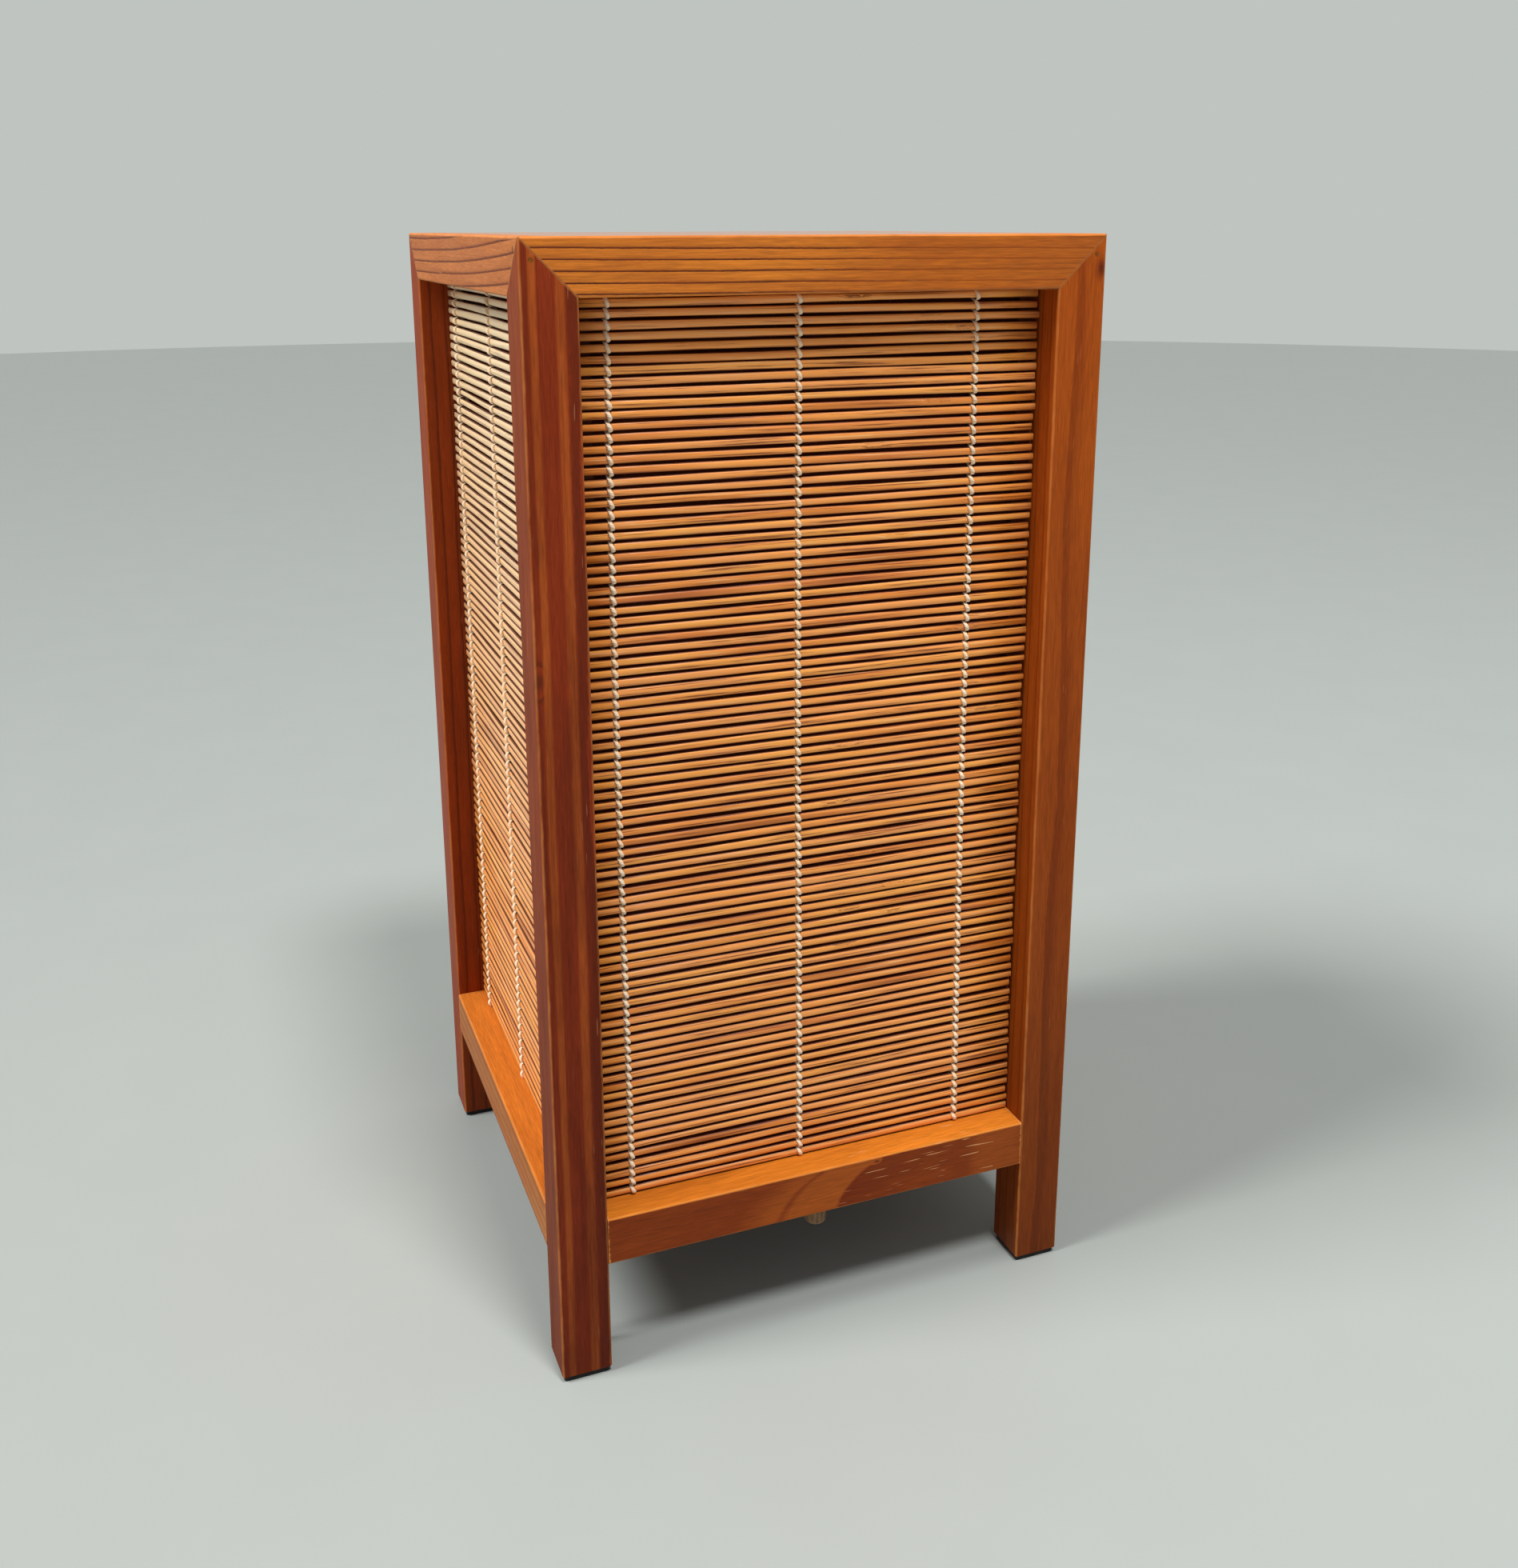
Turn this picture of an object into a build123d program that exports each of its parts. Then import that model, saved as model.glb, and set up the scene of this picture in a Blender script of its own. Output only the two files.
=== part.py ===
from build123d import *
from math import cos, floor, radians, sin
import os

os.makedirs("parts", exist_ok=True)

# Andon floor lamp: a square pine frame with a closed top, reed mats lined with paper on its four
# sides and a lampholder on a steel strap between the bottom rails.
# Own frame: origin on the floor under the centre, +X right, +Y back, +Z up, millimetres.

# ---- Frame ----
height = 471.0  # floor to top face
width = 240.0  # across the front, outside the posts
depth = 240.0  # front to back, outside the posts
stock = 21.5  # square section of posts and top rails
bottom_rail_height = 21.5
underside_height = 52.5  # floor to the underside of the bottom rails
arris = 1.0  # rounding along the edges of the wood
leg_chamfer = 0.8

pad_thickness = 2.0
pad_inset = 1.0  # pad edge inside the leg's faces

panel_thickness = 5.0
rebate_width = 8.0  # ledge in the top rails that carries the panel
panel_gap = 0.25  # all round the panel

# ---- Brads and dowels ----
brad_diameter = 1.2
brad_length = 18.0
brad_head_diameter = 2.0
brad_head_thickness = 0.8
brad_near = 4.5  # from the closer edge of the corner
brad_far = 8.0  # from the other edge of the corner
brad_fit = 0.02  # radial room round a brad

dowel_diameter = 6.0
dowel_length = 26.0
dowel_stagger = 5.0  # above or below the middle of the rail
dowel_fit = 0.05  # radial room for glue
dowel_end_room = 1.0

# ---- Mats ----
mat_reveal = 13.5  # outer face of the frame to the front of the reeds
reed_diameter = 3.15
reed_pitch = 4.17
reed_end_gap = 1.0  # reed end to post
string_margin = 43.0  # edge of the side to its outer strings, before they are set off
string_offset = {"front": -8.0, "back": -5.0, "left": -3.0, "right": -6.0}  # to the right
string_count = 3
string_width = 2.0
string_thickness = 0.75
string_fit = 0.05  # room between string and reed

batten_width = 8.0
batten_pin_diameter = 1.0
batten_pin_length = 15.0
batten_pin_count = 3
batten_pin_stagger = 6.0  # the pins of two neighbouring sides pass each other in a post

lining_thickness = 0.3
lining_lap = 8.0  # glued onto the rails above and below the opening
lining_room = 0.5  # each upright edge to the corner where two linings would meet

# ---- Strap and thumb screws ----
strap_width = 14.0
strap_thickness = 1.5
strap_setback = 4.0  # outer face of the frame to the end of the strap
strap_corner = 3.0
strap_hole_room = 0.25  # radial, round stud and nipple

stud_diameter = 4.0
stud_fit = 0.05  # radial running clearance
stud_in_knob = 7.0
stud_end_room = 1.0  # stud tip to the inner end of the insert
insert_diameter = 6.5
insert_length = 10.0
insert_fit = 0.02
washer_diameter = 9.0
washer_thickness = 0.8
knob_diameter = 9.5
knob_height = 8.4
knob_round = 1.6
flute_count = 14
flute_diameter = 1.0

# ---- Lampholder; heights are above the strap ----
nipple_diameter = 10.0
nipple_bore = 7.0
nipple_below = 8.0
nipple_above = 7.0
thread_fit = 0.05  # radial, where two threads meet as plain cylinders
nut_across_flats = 14.0
nut_thickness = 4.0

holder_diameter = 39.0
holder_wall = 2.2
cap_floor = 3.0
cap_round = 4.0
cap_shoulder_height = 16.0
cap_thread_height = 6.0
skirt_top_height = 50.0
skirt_mouth_wall = 3.5
skirt_round = 1.0
ceramic_base_height = 14.0
ceramic_thickness = 12.0
ceramic_ledge = 1.8
ceramic_fit = 0.1

terminal_spacing = 18.0
terminal_diameter = 3.0
terminal_length = 8.0
terminal_head_diameter = 5.5
terminal_head_height = 2.0
terminal_fit = 0.05
terminal_end_room = 0.5

shell_bore = 26.7
shell_sheet = 0.4
shell_height = 20.0
shell_flange_bore = 18.0

leaf_width = 5.0
leaf_sheet = 0.4
leaf_rise = 3.0
leaf_top_length = 6.0
leaf_ramp_length = 3.0
leaf_foot_length = 2.5

# ---- Bulb; heights are above its centre contact ----
bulb_length = 108.0
bulb_diameter = 60.0
bulb_glass = 0.7
bulb_join_angle = 40.0  # below the equator, where the shoulder meets the ball
neck_diameter = 25.2
neck_base = 10.0
neck_top = 34.0
bulb_cap_diameter = 26.2
bulb_cap_sheet = 0.35
bulb_cap_base = 4.6
bulb_cap_shoulder = 6.5
bulb_cap_straight = 24.0
bulb_cap_height = 27.0
bulb_rim_diameter = 27.8
bulb_cap_lip = 2.0
insulator_diameter = 22.0
contact_diameter = 9.2
contact_height = 1.2
stem_diameter = 8.0
stem_height = 40.0
flare_height = 6.0
glass_fit = 0.05
filament_diameter = 26.0
filament_height = 62.0
filament_angle = 220.0
filament_wire = 0.7
lead_wire = 0.9
lead_spacing = 4.0

# ---- Worked out from the above ----
half_width = width / 2
half_depth = depth / 2
rail_top = underside_height + bottom_rail_height
rail_middle = underside_height + bottom_rail_height / 2
opening_height = height - stock - rail_top
opening_middle = rail_top + opening_height / 2
reed_count = floor(opening_height / reed_pitch)
mat_height = reed_count * reed_pitch
mat_back = mat_reveal + reed_diameter  # outer face to the back of the reeds
batten_depth = stock - mat_back
strap_underside = underside_height - strap_thickness
knob_top = strap_underside - washer_thickness
holder_radius = holder_diameter / 2
thread_radius = holder_radius - holder_wall / 2
ceramic_hole_radius = holder_radius - holder_wall
shoulder = underside_height + cap_shoulder_height
ceramic_base = underside_height + ceramic_base_height
ceramic_top = ceramic_base + ceramic_thickness
contact_plane = ceramic_top + leaf_rise
up = Vector(0, 0, 1)
inward = (Align.CENTER, Align.CENTER, Align.MAX)  # a cylinder that runs in from its plane
upward = (Align.CENTER, Align.CENTER, Align.MIN)


class Side:
    """One side of the lamp, seen from outside."""

    def __init__(self, name, right, outward, span, reach, stagger):
        self.name = name
        self.right = Vector(right)
        self.outward = Vector(outward)
        self.span = span  # between the outer faces of its posts
        self.reach = reach  # lamp's centre to the outer face
        self.stagger = stagger  # which way its dowels and pins are set off

    def point(self, along, inset, z):
        """A point at a distance along the side, behind its outer face, at height z."""
        return self.right * along + self.outward * (self.reach - inset) + up * z

    def section(self, along):
        """Cross-section plane: x runs inward from the outer face, y up from the floor."""
        return Plane(self.point(along, 0, 0), x_dir=-self.outward, z_dir=self.right)


sides = [
    Side("front", (1, 0, 0), (0, -1, 0), width, half_depth, -1),
    Side("back", (-1, 0, 0), (0, 1, 0), width, half_depth, -1),
    Side("left", (0, -1, 0), (-1, 0, 0), depth, half_width, 1),
    Side("right", (0, 1, 0), (1, 0, 0), depth, half_width, 1),
]
front_and_back = sides[:2]
corners = {
    "front_left": (-1, -1),
    "front_right": (1, -1),
    "back_left": (-1, 1),
    "back_right": (1, 1),
}


def save(part, name):
    part.label = name
    export_step(part, f"parts/{name}.step")


# ---- Places of the fasteners, as planes that face out of the wood ----
def corner_brad_planes(sx, sy):
    """Each brad enters one member of the mitred corner and ends in the next."""
    return [
        Plane(
            (sx * half_width, sy * (half_depth - brad_far), height - brad_near),
            z_dir=(sx, 0, 0),
        ),
        Plane(
            (sx * (half_width - brad_near), sy * half_depth, height - brad_far),
            z_dir=(0, sy, 0),
        ),
        Plane(
            (sx * (half_width - brad_far), sy * (half_depth - brad_near), height),
            z_dir=(0, 0, 1),
        ),
    ]


def dowel_planes(side):
    """Where a side's bottom rail meets its two posts."""
    z = rail_middle + side.stagger * dowel_stagger
    return [
        Plane(side.point(end * (side.span / 2 - stock), stock / 2, z), z_dir=side.right * end)
        for end in (-1, 1)
    ]


def batten_pin_planes(side):
    """Where pins enter the free faces of a side's two battens."""
    spacing = opening_height / batten_pin_count
    along = side.span / 2 - stock - batten_width
    inset = mat_back + batten_depth / 2
    return [
        Plane(
            side.point(
                end * along,
                inset,
                rail_top + (i + 0.5) * spacing + side.stagger * batten_pin_stagger,
            ),
            z_dir=side.right * -end,
        )
        for end in (-1, 1)
        for i in range(batten_pin_count)
    ]


brad_places = [plane for sx, sy in corners.values() for plane in corner_brad_planes(sx, sy)]
dowel_places = [plane for side in sides for plane in dowel_planes(side)]
pin_places = [plane for side in sides for plane in batten_pin_planes(side)]
screw_places = [side.point(0, stock / 2, 0) for side in front_and_back]


def add_brads(room, mode):
    """Headed brads, or with some room their holes."""
    with Locations(*brad_places):
        Cylinder(brad_diameter / 2 + room, brad_length + room, align=inward, mode=mode)
        Cylinder(
            brad_head_diameter / 2 + room, brad_head_thickness + room, align=inward, mode=mode
        )


def add_batten_pins(room, mode):
    with Locations(*pin_places):
        Cylinder(
            batten_pin_diameter / 2 + room, batten_pin_length + room, align=inward, mode=mode
        )


def add_dowels(room, end_room, mode):
    with Locations(*dowel_places):
        Cylinder(dowel_diameter / 2 + room, dowel_length + 2 * end_room, mode=mode)


# ---- Posts: their tips take a third of the mitred corner ----
def make_post(sx, sy):
    with BuildPart() as post:
        with BuildSketch(Plane.XY.offset(pad_thickness)):
            with Locations((sx * (half_width - stock / 2), sy * (half_depth - stock / 2))):
                RectangleRounded(stock, stock, arris)
        extrude(amount=height - pad_thickness)
        chamfer(post.faces().sort_by(Axis.Z)[0].edges(), leg_chamfer)
        corner = Vector(sx * half_width, sy * half_depth, height)
        for normal in ((sx, 0, -1), (0, sy, -1)):
            split(bisect_by=Plane(corner, z_dir=normal), keep=Keep.TOP)
        add_brads(brad_fit, Mode.SUBTRACT)
        add_dowels(dowel_fit, dowel_end_room, Mode.SUBTRACT)
        add_batten_pins(brad_fit, Mode.SUBTRACT)
    return post.part


for corner_name, (corner_x, corner_y) in corners.items():
    save(make_post(corner_x, corner_y), f"post_{corner_name}")


# ---- Top rails: rebated for the panel, both ends cut by the two mitre planes ----
def make_top_rail(side):
    with BuildPart() as rail:
        with BuildSketch(side.section(-side.span / 2)):
            with Locations((stock / 2, height - stock / 2)):
                RectangleRounded(stock, stock, arris)
            with Locations((stock, height)):
                Rectangle(
                    rebate_width,
                    panel_thickness,
                    align=(Align.MAX, Align.MAX),
                    mode=Mode.SUBTRACT,
                )
        extrude(amount=side.span)
        for end in (-1, 1):
            corner = side.point(end * side.span / 2, 0, height)
            for across in (side.outward, up):
                split(bisect_by=Plane(corner, z_dir=across - side.right * end), keep=Keep.TOP)
        add_brads(brad_fit, Mode.SUBTRACT)
    return rail.part


# ---- Bottom rails: butted and dowelled between the posts ----
def make_bottom_rail(side):
    with BuildPart() as rail:
        with BuildSketch(side.section(stock - side.span / 2)):
            with Locations((stock / 2, rail_middle)):
                RectangleRounded(stock, bottom_rail_height, arris)
        extrude(amount=side.span - 2 * stock)
        add_dowels(dowel_fit, dowel_end_room, Mode.SUBTRACT)
        if side in front_and_back:
            with BuildSketch(Plane.XY.offset(underside_height)):
                with Locations(*screw_places):
                    Circle(insert_diameter / 2 + insert_fit)
            extrude(amount=insert_length, mode=Mode.SUBTRACT)
    return rail.part


# ---- Mats: reeds side by side, held by strings that pass before, behind and between ----
def make_reeds(side):
    length = side.span - 2 * stock - 2 * reed_end_gap
    with BuildPart() as reeds:
        with BuildSketch(side.section(-length / 2)):
            with Locations((mat_reveal + reed_diameter / 2, opening_middle)):
                with GridLocations(reed_diameter, reed_pitch, 1, reed_count):
                    Circle(reed_diameter / 2)
        extrude(amount=length)
    return reeds.part


def make_strings(side):
    """Each string is a flat loop round the whole mat, over its first and last reeds."""
    room = reed_diameter + 2 * string_fit
    over_reeds = (reed_count - 1) * reed_pitch + room
    pitch = (side.span - 2 * string_margin) / (string_count - 1)
    with BuildPart() as strings:
        for i in range(string_count):
            along = string_margin - side.span / 2 + i * pitch + string_offset[side.name]
            with BuildSketch(side.section(along - string_width / 2)):
                with Locations((mat_reveal + reed_diameter / 2, opening_middle)):
                    Rectangle(room + 2 * string_thickness, mat_height)
                    Rectangle(room, over_reeds, mode=Mode.SUBTRACT)
            extrude(amount=string_width)
    return strings.part


def make_battens(side):
    """A strip behind each end of the mat, pinned to the post."""
    length = side.span - 2 * stock
    with BuildPart() as battens:
        for end in (-1, 1):
            start = end * length / 2 - (end + 1) * batten_width / 2
            with BuildSketch(side.section(start)):
                with Locations((mat_back + batten_depth / 2, opening_middle)):
                    Rectangle(batten_depth, opening_height)
            extrude(amount=batten_width)
        add_batten_pins(brad_fit, Mode.SUBTRACT)
    return battens.part


def make_lining(side):
    """A sheet of paper glued to the backs of the battens and rails."""
    with BuildPart() as lining:
        with BuildSketch(side.section(stock + lining_room - side.span / 2)):
            with Locations((stock + lining_thickness / 2, opening_middle)):
                Rectangle(lining_thickness, opening_height + 2 * lining_lap)
        extrude(amount=side.span - 2 * (stock + lining_room))
    return lining.part


for lamp_side in sides:
    save(make_top_rail(lamp_side), f"top_rail_{lamp_side.name}")
    save(make_bottom_rail(lamp_side), f"bottom_rail_{lamp_side.name}")
    save(make_reeds(lamp_side), f"reeds_{lamp_side.name}")
    save(make_strings(lamp_side), f"strings_{lamp_side.name}")
    save(make_battens(lamp_side), f"battens_{lamp_side.name}")
    save(make_lining(lamp_side), f"lining_{lamp_side.name}")

# ---- Top panel ----
with BuildPart() as top_panel:
    ledge_room = 2 * (stock - rebate_width + panel_gap)
    with BuildSketch(Plane.XY.offset(height - panel_thickness)):
        Rectangle(width - ledge_room, depth - ledge_room)
    extrude(amount=panel_thickness)
save(top_panel.part, "top_panel")

# ---- Foot pads ----
with BuildPart() as foot_pads:
    with BuildSketch():
        with GridLocations(width - stock, depth - stock, 2, 2):
            RectangleRounded(stock - 2 * pad_inset, stock - 2 * pad_inset, arris)
    extrude(amount=pad_thickness)
save(foot_pads.part, "foot_pads")

# ---- Fasteners in the wood ----
with BuildPart() as corner_brads:
    add_brads(0, Mode.ADD)
save(corner_brads.part, "corner_brads")

with BuildPart() as rail_dowels:
    add_dowels(0, 0, Mode.ADD)
save(rail_dowels.part, "rail_dowels")

with BuildPart() as batten_pins:
    add_batten_pins(0, Mode.ADD)
save(batten_pins.part, "batten_pins")

with BuildPart() as rail_inserts:
    with BuildSketch(Plane.XY.offset(underside_height)):
        with Locations(*screw_places):
            Circle(insert_diameter / 2)
            Circle(stud_diameter / 2 + stud_fit, mode=Mode.SUBTRACT)
    extrude(amount=insert_length)
save(rail_inserts.part, "rail_inserts")

# ---- Strap across the undersides of the front and back rails ----
with BuildPart() as holder_strap:
    with BuildSketch(Plane.XY.offset(strap_underside)):
        RectangleRounded(strap_width, depth - 2 * strap_setback, strap_corner)
        Circle(nipple_diameter / 2 + strap_hole_room, mode=Mode.SUBTRACT)
        with Locations(*screw_places):
            Circle(stud_diameter / 2 + strap_hole_room, mode=Mode.SUBTRACT)
    extrude(amount=strap_thickness)
save(holder_strap.part, "holder_strap")


# ---- Thumb screws: fluted knob, stud and captive washer ----
def make_knob(place):
    with BuildPart() as knob:
        with Locations(place + up * knob_top):
            Cylinder(knob_diameter / 2, knob_height, align=inward)
        fillet(knob.edges().sort_by(Axis.Z)[0], knob_round)
        with Locations(place + up * knob_top):
            with PolarLocations(knob_diameter / 2, flute_count):
                Cylinder(flute_diameter / 2, knob_height, align=inward, mode=Mode.SUBTRACT)
            Cylinder(stud_diameter / 2, stud_in_knob, align=inward, mode=Mode.SUBTRACT)
    return knob.part


def make_stud(place):
    tip = underside_height + insert_length - stud_end_room
    with BuildPart() as stud:
        with Locations(place + up * (knob_top - stud_in_knob)):
            Cylinder(stud_diameter / 2, tip - knob_top + stud_in_knob, align=upward)
    return stud.part


def make_washer(place):
    with BuildPart() as washer:
        with Locations(place + up * knob_top):
            Cylinder(washer_diameter / 2, washer_thickness, align=upward)
            Cylinder(
                stud_diameter / 2 + stud_fit,
                washer_thickness,
                align=upward,
                mode=Mode.SUBTRACT,
            )
    return washer.part


for lamp_side, screw_place in zip(front_and_back, screw_places):
    save(make_knob(screw_place), f"thumb_knob_{lamp_side.name}")
    save(make_stud(screw_place), f"thumb_stud_{lamp_side.name}")
    save(make_washer(screw_place), f"thumb_washer_{lamp_side.name}")

# ---- Threaded nipple and its nut ----
with BuildPart() as holder_nipple:
    with BuildSketch(Plane.XY.offset(strap_underside - nipple_below)):
        Circle(nipple_diameter / 2)
        Circle(nipple_bore / 2, mode=Mode.SUBTRACT)
    extrude(amount=nipple_below + strap_thickness + nipple_above)
save(holder_nipple.part, "holder_nipple")

with BuildPart() as nipple_nut:
    with BuildSketch(Plane.XY.offset(strap_underside - nut_thickness)):
        RegularPolygon(nut_across_flats / 2, 6, major_radius=False)
        Circle(nipple_diameter / 2 + thread_fit, mode=Mode.SUBTRACT)
    extrude(amount=nut_thickness)
save(nipple_nut.part, "nipple_nut")


# ---- Lampholder ----
def turned(points):
    """A closed outline of (radius, height) points, turned about the lamp's axis."""
    with BuildPart() as piece:
        with BuildSketch(Plane.XZ):
            with BuildLine():
                Polyline(*points, close=True)
            make_face()
        revolve(axis=Axis.Z)
    return piece.part


nipple_hole_radius = nipple_diameter / 2 + thread_fit
cap_top = shoulder + cap_thread_height
cap_inside_radius = ceramic_hole_radius - ceramic_ledge
cap_inside_floor = underside_height + cap_floor

with BuildPart() as holder_cap:
    add(
        turned(
            [
                (nipple_hole_radius, underside_height),
                (holder_radius, underside_height),
                (holder_radius, shoulder),
                (thread_radius, shoulder),
                (thread_radius, cap_top),
                (ceramic_hole_radius, cap_top),
                (ceramic_hole_radius, ceramic_base),
                (cap_inside_radius, ceramic_base),
                (cap_inside_radius, cap_inside_floor),
                (nipple_hole_radius, cap_inside_floor),
            ]
        )
    )
    lowest_circles = holder_cap.edges().filter_by(GeomType.CIRCLE).group_by(Axis.Z)[0]
    fillet(lowest_circles.sort_by(SortBy.RADIUS)[-1], cap_round)
save(holder_cap.part, "holder_cap")

mouth_height = underside_height + skirt_top_height
mouth_radius = holder_radius - skirt_mouth_wall

with BuildPart() as holder_skirt:
    add(
        turned(
            [
                (thread_radius + thread_fit, shoulder),
                (holder_radius, shoulder),
                (holder_radius, mouth_height),
                (mouth_radius, mouth_height),
                (mouth_radius, ceramic_top),
                (ceramic_hole_radius, ceramic_top),
                (ceramic_hole_radius, cap_top),
                (thread_radius + thread_fit, cap_top),
            ]
        )
    )
    fillet(holder_skirt.edges().filter_by(GeomType.CIRCLE).group_by(Axis.Z)[-1], skirt_round)
save(holder_skirt.part, "holder_skirt")

with BuildPart() as holder_ceramic:
    with BuildSketch(Plane.XY.offset(ceramic_base)):
        Circle(ceramic_hole_radius - ceramic_fit)
    extrude(amount=ceramic_thickness)
    with BuildSketch(Plane.XY.offset(ceramic_base)):
        with GridLocations(terminal_spacing, 1, 2, 1):
            Circle(terminal_diameter / 2 + terminal_fit)
    extrude(amount=terminal_length + terminal_end_room, mode=Mode.SUBTRACT)
save(holder_ceramic.part, "holder_ceramic")

with BuildPart() as terminal_screws:
    with BuildSketch(Plane.XY.offset(ceramic_base)):
        with GridLocations(terminal_spacing, 1, 2, 1):
            Circle(terminal_diameter / 2)
    extrude(amount=terminal_length)
    with BuildSketch(Plane.XY.offset(ceramic_base)):
        with GridLocations(terminal_spacing, 1, 2, 1):
            Circle(terminal_head_diameter / 2)
    extrude(amount=-terminal_head_height)
save(terminal_screws.part, "terminal_screws")

shell_outside = shell_bore / 2 + shell_sheet
save(
    turned(
        [
            (shell_flange_bore / 2, ceramic_top),
            (shell_outside, ceramic_top),
            (shell_outside, ceramic_top + shell_height),
            (shell_bore / 2, ceramic_top + shell_height),
            (shell_bore / 2, ceramic_top + shell_sheet),
            (shell_flange_bore / 2, ceramic_top + shell_sheet),
        ]
    ),
    "screw_shell",
)

with BuildPart() as contact_leaf:
    ramp_top = leaf_top_length / 2
    ramp_foot = ramp_top + leaf_ramp_length
    leaf_end = ramp_foot + leaf_foot_length
    with BuildSketch(Plane.XZ):
        with BuildLine():
            Polyline(
                (-leaf_end, ceramic_top),
                (-ramp_foot, ceramic_top),
                (-ramp_top, contact_plane - leaf_sheet),
                (ramp_top, contact_plane - leaf_sheet),
                (ramp_top, contact_plane),
                (-ramp_top, contact_plane),
                (-ramp_foot, ceramic_top + leaf_sheet),
                (-leaf_end, ceramic_top + leaf_sheet),
                close=True,
            )
        make_face()
    extrude(amount=leaf_width / 2, both=True)
save(contact_leaf.part, "contact_leaf")


# ---- Bulb ----
def bulb_line(inset):
    """Half outline of the glass, moved in by an inset: neck, shoulder, ball."""
    radius = bulb_diameter / 2 - inset
    middle = contact_plane + bulb_length - bulb_diameter / 2
    join = radians(bulb_join_angle)
    neck_radius = neck_diameter / 2 - inset
    neck = Line((neck_radius, contact_plane + neck_base), (neck_radius, contact_plane + neck_top))
    Spline(
        neck @ 1,
        (radius * cos(join), middle - radius * sin(join)),
        tangents=[(0, 1), (sin(join), cos(join))],
    )
    CenterArc((0, middle), radius, -bulb_join_angle, 90 + bulb_join_angle)
    return neck @ 0, (0, middle + radius)


with BuildPart() as bulb_envelope:
    with BuildSketch(Plane.XZ):
        with BuildLine():
            outer_foot, outer_crown = bulb_line(0)
            inner_foot, inner_crown = bulb_line(bulb_glass)
            Line(outer_foot, inner_foot)
            Line(outer_crown, inner_crown)
        make_face()
    revolve(axis=Axis.Z)
save(bulb_envelope.part, "bulb_envelope")

bulb_cap_radius = bulb_cap_diameter / 2
save(
    turned(
        [
            (insulator_diameter / 2 - bulb_cap_lip, contact_plane + bulb_cap_base),
            (insulator_diameter / 2, contact_plane + bulb_cap_base),
            (bulb_cap_radius, contact_plane + bulb_cap_shoulder),
            (bulb_cap_radius, contact_plane + bulb_cap_straight),
            (bulb_rim_diameter / 2, contact_plane + bulb_cap_height),
            (bulb_rim_diameter / 2 - bulb_cap_sheet, contact_plane + bulb_cap_height),
            (bulb_cap_radius - bulb_cap_sheet, contact_plane + bulb_cap_straight),
            (bulb_cap_radius - bulb_cap_sheet, contact_plane + bulb_cap_shoulder),
            (
                insulator_diameter / 2 - bulb_cap_sheet,
                contact_plane + bulb_cap_base + bulb_cap_sheet,
            ),
            (
                insulator_diameter / 2 - bulb_cap_lip,
                contact_plane + bulb_cap_base + bulb_cap_sheet,
            ),
        ]
    ),
    "bulb_cap",
)

save(
    turned(
        [
            (0, contact_plane + contact_height),
            (contact_diameter / 2, contact_plane + contact_height),
            (insulator_diameter / 2, contact_plane + bulb_cap_base),
            (0, contact_plane + bulb_cap_base),
        ]
    ),
    "bulb_insulator",
)

with BuildPart() as bulb_contact:
    with BuildSketch(Plane.XY.offset(contact_plane)):
        Circle(contact_diameter / 2)
    extrude(amount=contact_height)
save(bulb_contact.part, "bulb_contact")

flare_radius = neck_diameter / 2 - bulb_glass - glass_fit
save(
    turned(
        [
            (0, contact_plane + neck_base),
            (flare_radius, contact_plane + neck_base),
            (flare_radius, contact_plane + neck_base + bulb_glass),
            (stem_diameter / 2, contact_plane + neck_base + flare_height),
            (stem_diameter / 2, contact_plane + stem_height),
            (0, contact_plane + stem_height),
        ]
    ),
    "bulb_stem",
)


def lead_ends(direction):
    """From the top of the stem to the underside of one end of the filament."""
    turn = radians(filament_angle / 2)
    reach = filament_diameter / 2
    foot = Vector(direction * lead_spacing / 2, 0, contact_plane + stem_height)
    tip = Vector(direction * reach * sin(turn), reach * cos(turn), filament_plane)
    return foot, tip - up * filament_wire / 2


filament_plane = contact_plane + filament_height

with BuildPart() as bulb_leads:
    for lead_direction in (-1, 1):
        lead_foot, lead_tip = lead_ends(lead_direction)
        lead = lead_tip - lead_foot
        with BuildSketch(Plane(lead_foot)):
            Circle(lead_wire / 2)
        extrude(amount=lead.length, dir=lead.normalized())
save(bulb_leads.part, "bulb_leads")

with BuildPart() as bulb_filament:
    with BuildLine(Plane.XY.offset(filament_plane)) as filament_path:
        CenterArc((0, 0), filament_diameter / 2, 90 - filament_angle / 2, filament_angle)
    with BuildSketch(Plane(filament_path.line @ 0, z_dir=filament_path.line % 0)):
        Circle(filament_wire / 2)
    sweep(path=filament_path.line)
save(bulb_filament.part, "bulb_filament")
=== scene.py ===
import math

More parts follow.
